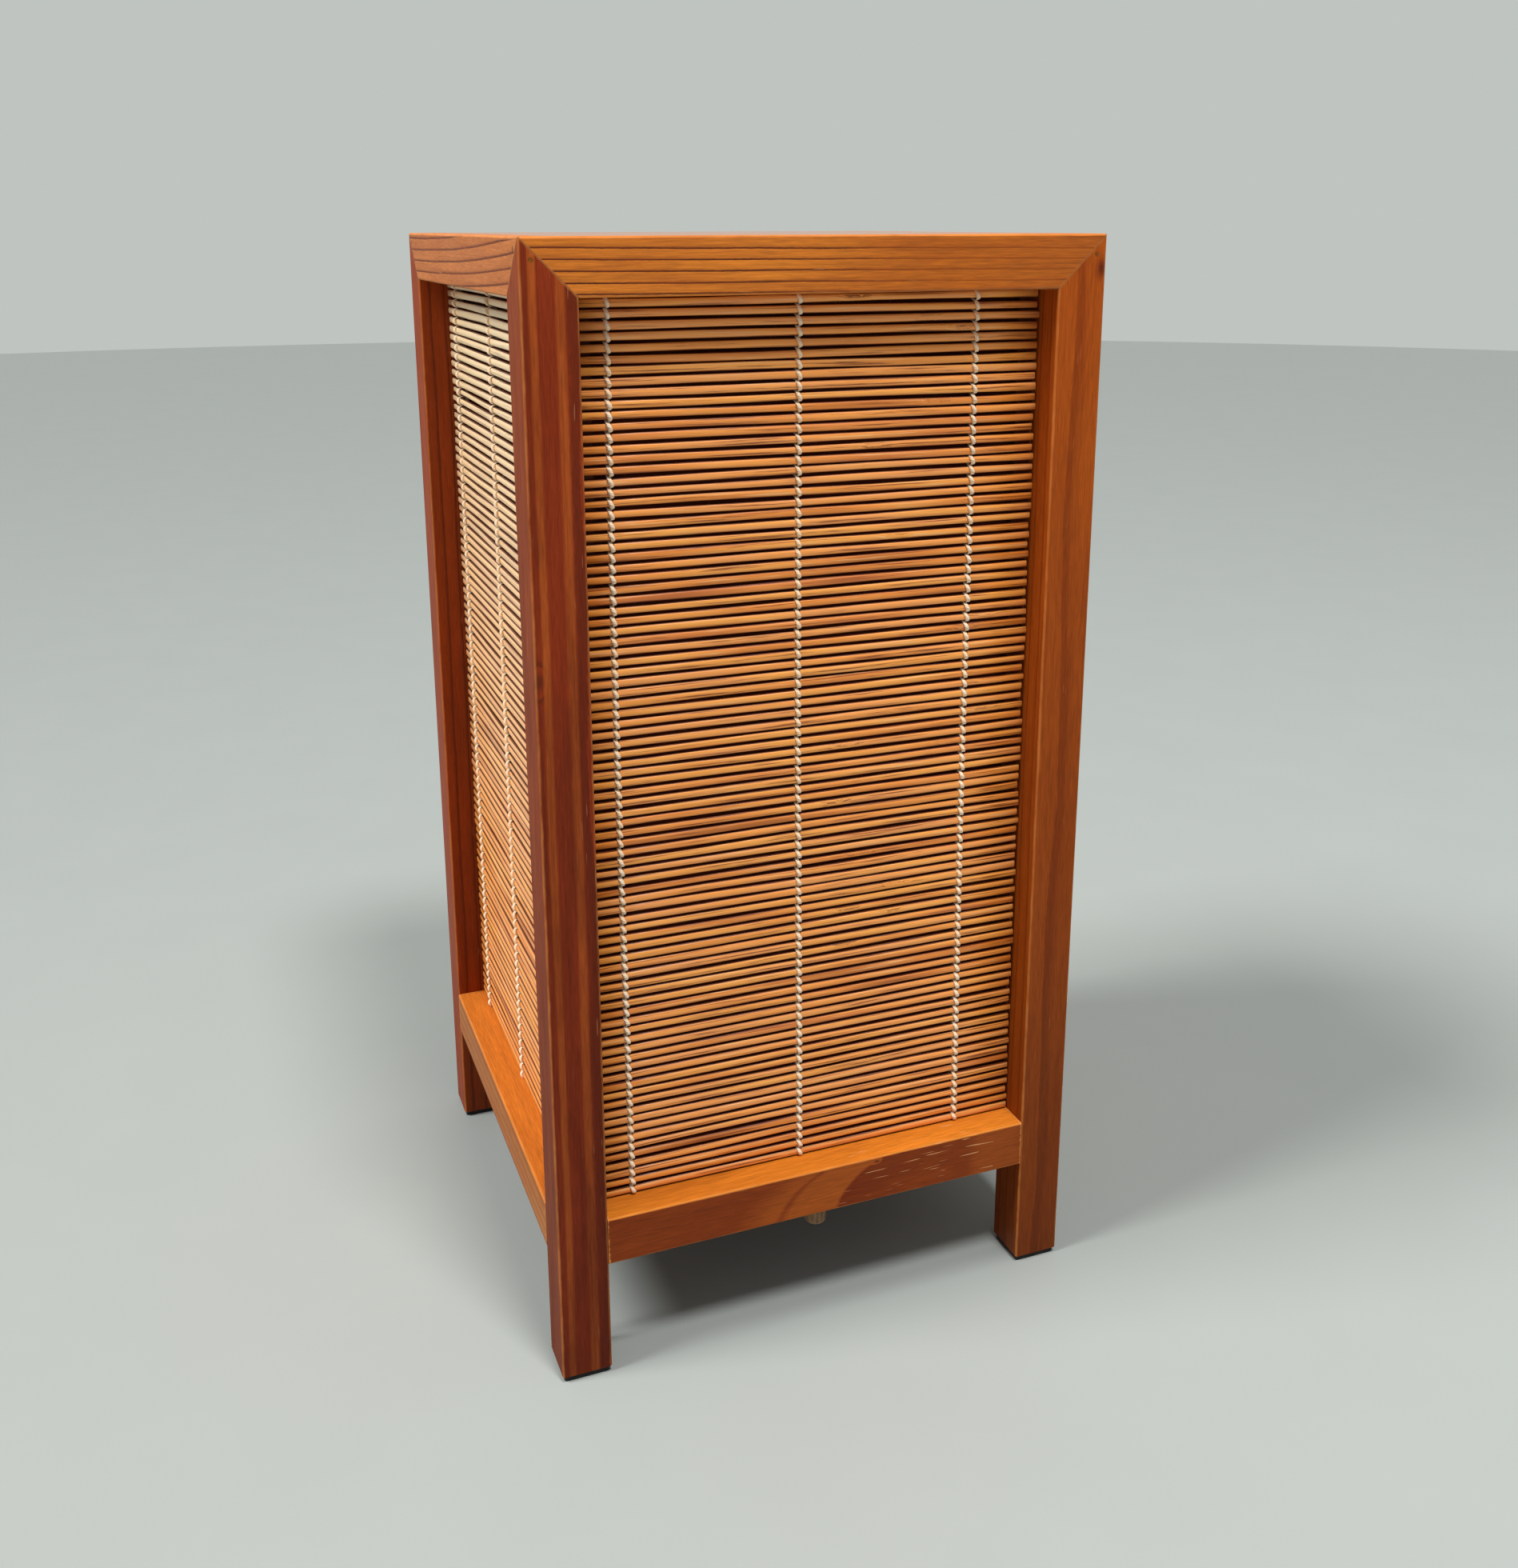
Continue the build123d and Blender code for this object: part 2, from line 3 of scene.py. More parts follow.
import bpy
import numpy as np
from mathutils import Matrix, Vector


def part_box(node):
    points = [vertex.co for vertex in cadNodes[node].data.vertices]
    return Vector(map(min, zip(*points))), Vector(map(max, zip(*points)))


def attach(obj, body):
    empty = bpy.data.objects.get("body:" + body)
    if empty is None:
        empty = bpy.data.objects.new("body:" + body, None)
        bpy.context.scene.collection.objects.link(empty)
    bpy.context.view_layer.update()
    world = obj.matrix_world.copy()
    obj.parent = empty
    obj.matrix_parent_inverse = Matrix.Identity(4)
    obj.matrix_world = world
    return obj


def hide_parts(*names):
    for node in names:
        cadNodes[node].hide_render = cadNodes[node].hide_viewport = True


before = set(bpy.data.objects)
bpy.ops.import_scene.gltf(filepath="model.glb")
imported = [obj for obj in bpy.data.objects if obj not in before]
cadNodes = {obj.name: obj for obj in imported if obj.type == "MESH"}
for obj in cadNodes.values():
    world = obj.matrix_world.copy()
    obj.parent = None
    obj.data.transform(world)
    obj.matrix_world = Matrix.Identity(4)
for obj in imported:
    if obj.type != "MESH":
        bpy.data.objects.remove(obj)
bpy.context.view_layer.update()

mm = 0.001
rng = np.random.default_rng(47)
print("frame loaded,", len(cadNodes), "nodes")


def linear(hexColour):
    # sRGB hex to the linear colour that a socket takes
    parts = [int(hexColour[i:i + 2], 16) / 255 for i in (1, 3, 5)]
    return tuple(c / 12.92 if c <= 0.04045 else ((c + 0.055) / 1.055) ** 2.4 for c in parts) + (1.0,)


def addNode(tree, kind, inputs=None, stops=None, **settings):
    # one node with its settings; an input is a value, a socket, or a node whose first output is meant;
    # stops are a colour ramp's (position, hex or grey)
    made = tree.nodes.new("ShaderNode" + kind)
    for key, value in settings.items():
        setattr(made, key, value)
    for key, value in (inputs or {}).items():
        if isinstance(value, bpy.types.Node):
            value = value.outputs[0]
        if isinstance(value, bpy.types.NodeSocket):
            tree.links.new(value, made.inputs[key])
        else:
            made.inputs[key].default_value = value
    if stops:
        elements = made.color_ramp.elements
        while len(elements) < len(stops):
            elements.new(0.5)
        for element, (position, colour) in zip(elements, stops):
            element.position = position
            element.color = linear(colour) if isinstance(colour, str) else (colour,) * 3 + (1.0,)
    return made


def startMaterial(name, **values):
    # an empty material with its shader, whose sockets take the plain values
    made = bpy.data.materials.new(name)
    made.use_nodes = True
    tree = made.node_tree
    tree.nodes.clear()
    shader = addNode(tree, "BsdfPrincipled")
    for key, value in values.items():
        shader.inputs[key.replace("_", " ")].default_value = value
    addNode(tree, "OutputMaterial", {0: shader})
    return made, tree, shader


def cover(material, *names):
    # gives CAD nodes their material
    for name in names:
        cadNodes[name].data.materials.clear()
        cadNodes[name].data.materials.append(material)


def gridFaces(rows, across):
    # quads of a tube's rows x across points, closed around
    r, a = np.meshgrid(np.arange(rows - 1), np.arange(across), indexing="ij")
    b = (a + 1) % across
    return np.stack([r * across + a, r * across + b, (r + 1) * across + b, (r + 1) * across + a], -1).reshape(-1, 4)


def makeTubes(name, points, u, v):
    # points: tubes x rows x across x 3, u and v: tubes x rows x (across + 1); side quads and two end caps per tube
    tubes, rows, across = points.shape[:3]
    firstPoint = (np.arange(tubes) * rows * across)[:, None, None]
    walls = (gridFaces(rows, across)[None] + firstPoint).reshape(-1, 4)
    first = np.arange(across)[::-1]
    last = np.arange(across) + (rows - 1) * across
    caps = (np.stack([first, last])[None] + firstPoint).reshape(-1, across)
    corners = np.concatenate([walls.ravel(), caps.ravel()]).astype(np.int32)
    sizes = np.concatenate([np.full(len(walls), 4), np.full(len(caps), across)])
    mesh = bpy.data.meshes.new(name)
    mesh.vertices.add(points.size // 3)
    mesh.vertices.foreach_set("co", points.astype(np.float32).ravel())
    mesh.loops.add(len(corners))
    mesh.loops.foreach_set("vertex_index", corners)
    mesh.polygons.add(len(sizes))
    mesh.polygons.foreach_set("loop_start", np.concatenate([[0], np.cumsum(sizes)[:-1]]).astype(np.int32))
    mesh.update(calc_edges=True)
    mesh.polygons.foreach_set("use_smooth", sizes == 4)

    # u runs along the tube and v around it; v has one more column, so that the seam doesn't fold back
    r, a = np.meshgrid(np.arange(rows - 1), np.arange(across), indexing="ij")
    cornerRow = np.stack([r, r, r + 1, r + 1], -1).reshape(-1, 4)
    cornerColumn = np.stack([a, a + 1, a + 1, a], -1).reshape(-1, 4)
    wallUv = np.stack([u[:, cornerRow, cornerColumn], v[:, cornerRow, cornerColumn]], -1).reshape(-1, 2)
    capRow = np.stack([np.zeros(across, int), np.full(across, rows - 1)])
    capColumn = np.stack([first, np.arange(across)])
    capUv = np.stack([u[:, capRow, capColumn], v[:, capRow, capColumn]], -1).reshape(-1, 2)
    mesh.uv_layers.new(name="run").data.foreach_set("uv", np.concatenate([wallUv, capUv]).astype(np.float32).ravel())
    mesh.validate()
    made = bpy.data.objects.new(name, mesh)
    bpy.context.scene.collection.objects.link(made)
    return made


cameraValues = {
    "lens": 35.702,  # mm
    "sensorWidth": 36.0,  # mm
    "shift": (-0.00343, -0.0999),
    "place": (-0.2418, -0.6694, 0.4753),  # m
    "turn": (75.425, 0.112, -21.282),  # degrees
}
cameraData = bpy.data.cameras.new("camera")
cameraData.lens = cameraValues["lens"]
cameraData.sensor_width = cameraValues["sensorWidth"]
cameraData.shift_x, cameraData.shift_y = cameraValues["shift"]
camera = bpy.data.objects.new("camera", cameraData)
camera.location = cameraValues["place"]
camera.rotation_euler = [math.radians(a) for a in cameraValues["turn"]]
bpy.context.scene.collection.objects.link(camera)
bpy.context.scene.camera = camera

studio = {
    "floorRings": (0.5, 1.5, 3.0, 6.0),  # m from the middle
    "floorPoints": 96,  # around each ring
    "floorColours": ("#A0A5A1", "#A4A9A5"),
    "backColour": "#BFC4C0",
    "ambientColour": "#FFFFFF",
    "ambient": 0.3,
    "panelPower": 49.0,  # W, round panel above the front, near enough to fall off towards the floor
    "panelPlace": (0.1, -1.12, 2.6),
    "panelAim": (0.0, -0.1, 0.4),
    "panelWidth": 0.5,
    "sunStrength": 2.92,
    "sunFrom": (-0.85, 0.0, 1.0),
    "sunAngle": 20.0,  # degrees across, so shadows are soft
}
bpy.context.scene.view_settings.view_transform = "Standard"

# Floor: points (ring * cos a, ring * sin a, 0), with one face inside the first ring
around = np.linspace(0, 2 * np.pi, studio["floorPoints"], endpoint=False)
rings = np.array(studio["floorRings"])[:, None]
disc = np.stack(np.broadcast_arrays(rings * np.cos(around), rings * np.sin(around), 0.0), -1).reshape(-1, 3)
floorFaces = [list(range(len(around)))] + gridFaces(len(rings), len(around))[:, ::-1].tolist()
floorMesh = bpy.data.meshes.new("floor")
floorMesh.from_pydata(disc.tolist(), [], floorFaces)
floor = bpy.data.objects.new("floor", floorMesh)
bpy.context.scene.collection.objects.link(floor)

# Matt painted board: even, with a very faint mottle
paint, tree, shader = startMaterial("matt_painted_board", Roughness=0.62, Specular_IOR_Level=0.3)
boardAt = addNode(tree, "TexCoord").outputs["Object"]
mottle = addNode(tree, "TexNoise", {"Vector": boardAt, "Scale": 14.0, "Detail": 4.0})
darker, paler = (linear(colour) for colour in studio["floorColours"])
tint = addNode(tree, "Mix", {0: mottle.outputs[0], 6: darker, 7: paler}, data_type="RGBA")
tree.links.new(tint.outputs[2], shader.inputs["Base Color"])
floorMesh.materials.append(paint)

# The world lights the lamp evenly, and shows as a pale backdrop to the camera, in gloss and through glass
world = bpy.data.worlds.new("studio")
bpy.context.scene.world = world
world.use_nodes = True
tree = world.node_tree
tree.nodes.clear()
path = addNode(tree, "LightPath")
seen = addNode(tree, "Math", {0: path.outputs["Is Camera Ray"], 1: path.outputs["Is Glossy Ray"]}, operation="MAXIMUM")
seen = addNode(tree, "Math", {0: seen, 1: path.outputs["Is Transmission Ray"]}, operation="MAXIMUM")
ambient = addNode(tree, "Background", {0: linear(studio["ambientColour"]), 1: studio["ambient"]})
backdrop = addNode(tree, "Background", {0: linear(studio["backColour"]), 1: 1.0})
addNode(tree, "OutputWorld", {0: addNode(tree, "MixShader", {0: seen, 1: ambient, 2: backdrop})})

panelData = bpy.data.lights.new("panel", "AREA")
panelData.shape = "DISK"
panelData.size = studio["panelWidth"]
panelData.energy = studio["panelPower"]
panel = bpy.data.objects.new("panel", panelData)
panel.location = studio["panelPlace"]
sunData = bpy.data.lights.new("sun", "SUN")
sunData.energy = studio["sunStrength"]
sunData.angle = math.radians(studio["sunAngle"])
sun = bpy.data.objects.new("sun", sunData)
panelFrom = [a - b for a, b in zip(studio["panelPlace"], studio["panelAim"])]
for lamp, (fromX, fromY, fromZ) in ((panel, panelFrom), (sun, studio["sunFrom"])):
    lamp.rotation_euler = (math.atan2(math.hypot(fromX, fromY), fromZ), 0, math.atan2(fromX, -fromY))
    bpy.context.scene.collection.objects.link(lamp)
print("camera, floor and light placed")


# Stained pine, planed, under a semi-gloss brushed varnish: growth rings cut by each face, dark late wood that
# ends abruptly, fine fibres, blotches where the stain sank in, and pale arrises, rubbed and with a painted highlight.
pineLook = {
    "early": "#CE7430",
    "late": "#6E3210",
    "lateAmount": 0.8,
    "deep": "#9A4516",  # where the stain sank in
    "deepAmount": 0.4,
    "worn": "#E69850",  # rubbed arrises with a painted highlight, chips beside the mitres, filler in the butt joints
    "wornAmount": 0.45,
    "resin": "#E2A06C",
    "knot": "#5A2412",
    "glue": "#6A2A10",
    "ringSpacing": 4.5,  # mm
    "ringEnd": 0.0,  # a distance from the pith at which a ring ends, mm
    "ringStops": ((0.0, 0.0), (0.5, 0.03), (0.74, 0.16), (0.83, 0.5), (0.88, 1.0), (0.98, 1.0), (1.0, 0.0)),
    "uneven": 0.4,  # how much ring widths differ, in rings
    "pith": (0.0, -90.0),  # from the middle of the member, mm across its two thicknesses
    "tilt": (0.0, 0.0),  # drift of the pith along the member, mm per mm
    "bow": 0.0,  # how far the pith dips at the ends, mm
    "wave": 1.2,  # mm, slow bends of the rings
    "ragged": 0.3,  # mm, small steps in the rings' edges
    "mitre": None,  # (outer side across, outer side up or across, both ends)
    "knots": (),  # (along, across, up, radius) mm
    "bands": (),  # (0 along, 1 across or 2 up, place, half width, strength, colour) of wide streaks, mm; a band over a top face is painted light
    "streaks": 0.3,  # how dark the long thin streaks are
    # resin streaks: strength, noise level above which they show, middle and half length, mm
    "flecks": (0.3, 0.78, 0.0, 500.0),
    "roughness": 0.6,
    "roughnessSpread": 0.07,
    "coat": 0.06,
    "paintedFootShade": 0.0,  # painted shade: darker by this share at the lower end, where less light reaches
    "relief": 0.12,  # mm
}
# Noise in the wood: size along and across the grain in mm, detail, roughness
grainPatterns = {
    "bend": (95, 26, 2.0, 0.45),  # slow bends of the rings, laps of the varnish
    "step": (2.6, 1.3, 2.0, 0.5),
    "patch": (60, 9, 3.0, 0.6),
    "streak": (110, 1.5, 3.0, 0.7),
    "fibre": (9, 0.5, 2.0, 0.6),  # real fibres are finer
    "resin": (12, 0.7, 0.0, 0.5),
    "wear": (14, 3, 3.0, 0.7),
}
halfStock = 10.75  # mm, of the posts and rails


def pineMaterial(name, node, axis, **changes):
    # Rings: distance r from a pith line that may lean and bow, warped by noise, less the ring's end, divided by the
    # ring spacing; the fraction runs pale to dark and drops back at once.
    look = {**pineLook, **changes}
    low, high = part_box(node)
    middle = [(a + b) / 2 / mm for a, b in zip(low, high)]
    order = {"X": (0, 1, 2), "Y": (1, 0, 2), "Z": (2, 0, 1)}[axis]
    halfLength, halfAcross, halfUp = ((high[i] - low[i]) / 2 / mm for i in order)
    corner = halfAcross + halfUp
    spacing = look["ringSpacing"]
    seed = sum(ord(c) * (i + 3) for i, c in enumerate(name)) % 997  # each name has its own stretch of the noise

    made, tree, shader = startMaterial(
        name, IOR=1.45, Coat_Weight=look["coat"], Coat_Roughness=0.14, Specular_IOR_Level=0.12)
    where = addNode(tree, "TexCoord").outputs["Object"]
    where = addNode(tree, "VectorMath", {0: where, 3: 1 / mm}, operation="SCALE")
    where = addNode(tree, "VectorMath", {0: where, 1: middle}, operation="SUBTRACT")
    parts = addNode(tree, "SeparateXYZ", {0: where})
    along, across, up = (parts.outputs[i] for i in order)
    grain = addNode(tree, "CombineXYZ", {0: along, 1: across, 2: up})
    shifted = addNode(tree, "VectorMath", {0: grain, 1: (seed * 7.3, seed * 1.9, seed * 3.1)}, operation="ADD")
    noise = {}
    for pattern, (sizeAlong, sizeAcross, detail, roughness) in grainPatterns.items():
        scale = (1 / sizeAlong, 1 / sizeAcross, 1 / sizeAcross)
        at = addNode(tree, "VectorMath", {0: shifted, 1: scale}, operation="MULTIPLY")
        inputs = {"Vector": at, "Scale": 1.0, "Detail": detail, "Roughness": roughness}
        noise[pattern] = addNode(tree, "TexNoise", inputs).outputs[0]
    warp = addNode(tree, "Math", {0: noise["bend"], 1: 2 * look["wave"], 2: -look["wave"]}, operation="MULTIPLY_ADD")
    warp = addNode(tree, "Math", {0: noise["step"], 1: look["ragged"], 2: warp}, operation="MULTIPLY_ADD")

    # pith line
    share = addNode(tree, "Math", {0: along, 1: 1 / halfLength}, operation="MULTIPLY")
    dip = addNode(tree, "Math", {0: share, 1: share}, operation="MULTIPLY")
    dip = addNode(tree, "Math", {0: dip, 1: look["bow"]}, operation="MULTIPLY")
    leanA = addNode(tree, "Math", {0: along, 1: -look["tilt"][0], 2: across}, operation="MULTIPLY_ADD")
    leanB = addNode(tree, "Math", {0: along, 1: -look["tilt"][1], 2: up}, operation="MULTIPLY_ADD")
    leanB = addNode(tree, "Math", {0: leanB, 1: dip}, operation="ADD")
    fromPith = addNode(tree, "CombineXYZ", {0: leanA, 1: leanB})
    fromPith = addNode(tree, "VectorMath", {0: fromPith, 1: (*look["pith"], 0)}, operation="SUBTRACT")
    radius = addNode(tree, "VectorMath", {0: fromPith}, operation="LENGTH").outputs["Value"]
    radius = addNode(tree, "Math", {0: radius, 1: warp}, operation="ADD")

    # knots: dark, a little drawn out along the grain, and the rings swell around them
    knotMask = None
    for knotAlong, knotAcross, knotUp, knotRadius in look["knots"]:
        gap = addNode(tree, "VectorMath", {0: grain, 1: (knotAlong, knotAcross, knotUp)}, operation="SUBTRACT")
        gap = addNode(tree, "VectorMath", {0: gap, 1: (0.55, 1, 1)}, operation="MULTIPLY")
        far = addNode(tree, "VectorMath", {0: gap}, operation="LENGTH").outputs["Value"]
        swell = addNode(tree, "MapRange", {0: far, 1: 0.0, 2: knotRadius * 4, 3: knotRadius * 1.6, 4: 0.0},
                        interpolation_type="SMOOTHSTEP")
        radius = addNode(tree, "Math", {0: radius, 1: swell}, operation="ADD")
        core = addNode(tree, "MapRange", {0: far, 1: knotRadius * 0.5, 2: knotRadius * 1.5, 3: 0.8, 4: 0.0})
        knotMask = core if knotMask is None else addNode(tree, "Math", {0: knotMask, 1: core}, operation="MAXIMUM")

    # uneven ring widths, then the ring profile
    widthAt = addNode(tree, "Math", {0: radius, 1: 1 / (2.3 * spacing), 2: seed * 0.37}, operation="MULTIPLY_ADD")
    widths = addNode(tree, "TexNoise", {"W": widthAt, "Scale": 1.0, "Detail": 0.0}, noise_dimensions="1D")
    start = -look["ringEnd"] / spacing - look["uneven"] / 2
    phase = addNode(tree, "Math", {0: radius, 1: 1 / spacing, 2: start}, operation="MULTIPLY_ADD")
    phase = addNode(tree, "Math", {0: widths.outputs[0], 1: look["uneven"], 2: phase}, operation="MULTIPLY_ADD")
    ring = addNode(tree, "Math", {0: phase}, operation="FRACT")
    ring = addNode(tree, "ValToRGB", {0: ring}, stops=look["ringStops"])
    ring = addNode(tree, "Math", {0: ring, 1: look["lateAmount"]}, operation="MULTIPLY")
    early, late, worn = (linear(look[key]) for key in ("early", "late", "worn"))
    colour = addNode(tree, "Mix", {0: ring, 6: early, 7: late}, data_type="RGBA").outputs[2]

    # wide streaks of another tone, which bend with the rings; a band over a top or side face is painted light
    for direction, bandAt, bandHalf, bandStrength, bandColour in look["bands"]:
        offset = addNode(tree, "Math", {0: warp, 1: 0.8, 2: (along, across, up)[direction]}, operation="MULTIPLY_ADD")
        offset = addNode(tree, "Math", {0: offset, 1: bandAt}, operation="SUBTRACT")
        offset = addNode(tree, "Math", {0: offset}, operation="ABSOLUTE")
        band = addNode(tree, "MapRange", {0: offset, 1: bandHalf * 0.5, 2: bandHalf * 1.25, 3: bandStrength, 4: 0.0},
                       interpolation_type="SMOOTHSTEP")
        colour = addNode(tree, "Mix", {0: band, 6: colour, 7: linear(bandColour)}, data_type="RGBA").outputs[2]

    # stain that sank in unevenly, in patches drawn out along the grain
    patch = addNode(tree, "MapRange", {0: noise["patch"], 1: 0.38, 2: 0.68, 3: 0.0, 4: look["deepAmount"]})
    colour = addNode(tree, "Mix", {0: patch, 6: colour, 7: linear(look["deep"])}, data_type="RGBA").outputs[2]

    # long thin streaks
    streak = addNode(tree, "MapRange", {0: noise["streak"], 1: 0.5, 2: 0.7, 3: 0.0, 4: look["streaks"]})
    colour = addNode(tree, "Mix", {0: streak, 6: colour, 7: late}, data_type="RGBA").outputs[2]

    # fibres, and painted shade towards the foot
    shade = addNode(tree, "MapRange", {0: noise["fibre"], 1: 0.3, 2: 0.7, 3: 0.8, 4: 1.16})
    if look["paintedFootShade"]:
        lower = addNode(tree, "MapRange", {0: share, 1: -1.0, 2: 1.0, 3: 1 - look["paintedFootShade"], 4: 1.0})
        shade = addNode(tree, "Math", {0: shade, 1: lower}, operation="MULTIPLY")
    colour = addNode(tree, "Mix", {0: 1.0, 6: colour, 7: shade}, data_type="RGBA", blend_type="MULTIPLY").outputs[2]

    # resin streaks: pale dashes about 6 mm long and 0.5 mm thick in the dark wood
    strength, level, fleckMiddle, fleckHalf = look["flecks"]
    dash = addNode(tree, "MapRange", {0: noise["resin"], 1: level, 2: level + 0.05, 3: 0.0, 4: strength})
    dash = addNode(tree, "Math", {0: dash, 1: ring}, operation="MULTIPLY")
    within = addNode(tree, "Math", {0: along, 1: fleckMiddle, 2: fleckHalf}, operation="COMPARE")
    dash = addNode(tree, "Math", {0: dash, 1: within}, operation="MULTIPLY")
    colour = addNode(tree, "Mix", {0: dash, 6: colour, 7: linear(look["resin"])}, data_type="RGBA").outputs[2]
    if knotMask is not None:
        colour = addNode(tree, "Mix", {0: knotMask, 6: colour, 7: linear(look["knot"])}, data_type="RGBA").outputs[2]

    # arrises: rubbed, with a painted highlight, where the two offsets from the middle add up to nearly those of a
    # corner
    absAcross = addNode(tree, "Math", {0: across}, operation="ABSOLUTE")
    absUp = addNode(tree, "Math", {0: up}, operation="ABSOLUTE")
    outward = addNode(tree, "Math", {0: absAcross, 1: absUp}, operation="ADD")
    outward = addNode(tree, "Math", {0: noise["wear"], 1: 1.1, 2: outward}, operation="MULTIPLY_ADD")
    rubbedAndSheen = addNode(tree, "MapRange", {0: outward, 1: corner - 0.45, 2: corner + 0.3, 3: 0.0, 4: look["wornAmount"]})
    colour = addNode(tree, "Mix", {0: rubbedAndSheen, 6: colour, 7: worn}, data_type="RGBA").outputs[2]

    if look["mitre"]:
        # what is left between the member and the mitre's cutting planes; dark glue line with pale chips beside it
        sideA, sideB, bothEnds = look["mitre"]
        toEnd = addNode(tree, "Math", {0: along}, operation="ABSOLUTE") if bothEnds else along
        toEnd = addNode(tree, "Math", {0: halfLength, 1: toEnd}, operation="SUBTRACT")
        gapA = addNode(tree, "Math", {0: across, 1: sideA, 2: toEnd}, operation="MULTIPLY_ADD")
        gapB = addNode(tree, "Math", {0: up, 1: sideB, 2: toEnd}, operation="MULTIPLY_ADD")
        seam = addNode(tree, "Math", {0: gapA, 1: gapB}, operation="MINIMUM")
        seam = addNode(tree, "Math", {0: seam, 1: halfStock}, operation="SUBTRACT")
        edge = addNode(tree, "Math", {0: noise["wear"], 1: -1.2, 2: seam}, operation="MULTIPLY_ADD")
        chips = addNode(tree, "MapRange", {0: edge, 1: -0.6, 2: -0.2, 3: 0.6, 4: 0.0})
        colour = addNode(tree, "Mix", {0: chips, 6: colour, 7: worn}, data_type="RGBA").outputs[2]
        line = addNode(tree, "MapRange", {0: seam, 1: 0.08, 2: 0.25, 3: 0.55, 4: 0.0})
        colour = addNode(tree, "Mix", {0: line, 6: colour, 7: linear(look["glue"])}, data_type="RGBA").outputs[2]
    elif axis != "Z":
        # filler rubbed into the butt joints
        toEnd = addNode(tree, "Math", {0: along}, operation="ABSOLUTE")
        toEnd = addNode(tree, "Math", {0: halfLength, 1: toEnd}, operation="SUBTRACT")
        edge = addNode(tree, "Math", {0: noise["wear"], 1: -2.4, 2: toEnd}, operation="MULTIPLY_ADD")
        filler = addNode(tree, "MapRange", {0: edge, 1: -1.1, 2: -0.5, 3: 0.7, 4: 0.0})
        colour = addNode(tree, "Mix", {0: filler, 6: colour, 7: worn}, data_type="RGBA").outputs[2]
    tree.links.new(colour, shader.inputs["Base Color"])

    # brushed varnish: faint lap marks along the grain, late wood stands a little proud
    dull, bright = look["roughness"] + look["roughnessSpread"], look["roughness"] - look["roughnessSpread"]
    gloss = addNode(tree, "MapRange", {0: noise["bend"], 1: 0.3, 2: 0.7, 3: bright, 4: dull})
    tree.links.new(gloss.outputs[0], shader.inputs["Roughness"])
    height = addNode(tree, "Math", {0: noise["fibre"], 1: 0.6, 2: ring}, operation="MULTIPLY_ADD")
    bump = addNode(tree, "Bump", {"Strength": 0.35, "Distance": look["relief"] * mm, "Height": height})
    tree.links.new(bump.outputs[0], shader.inputs["Normal"])
    return made


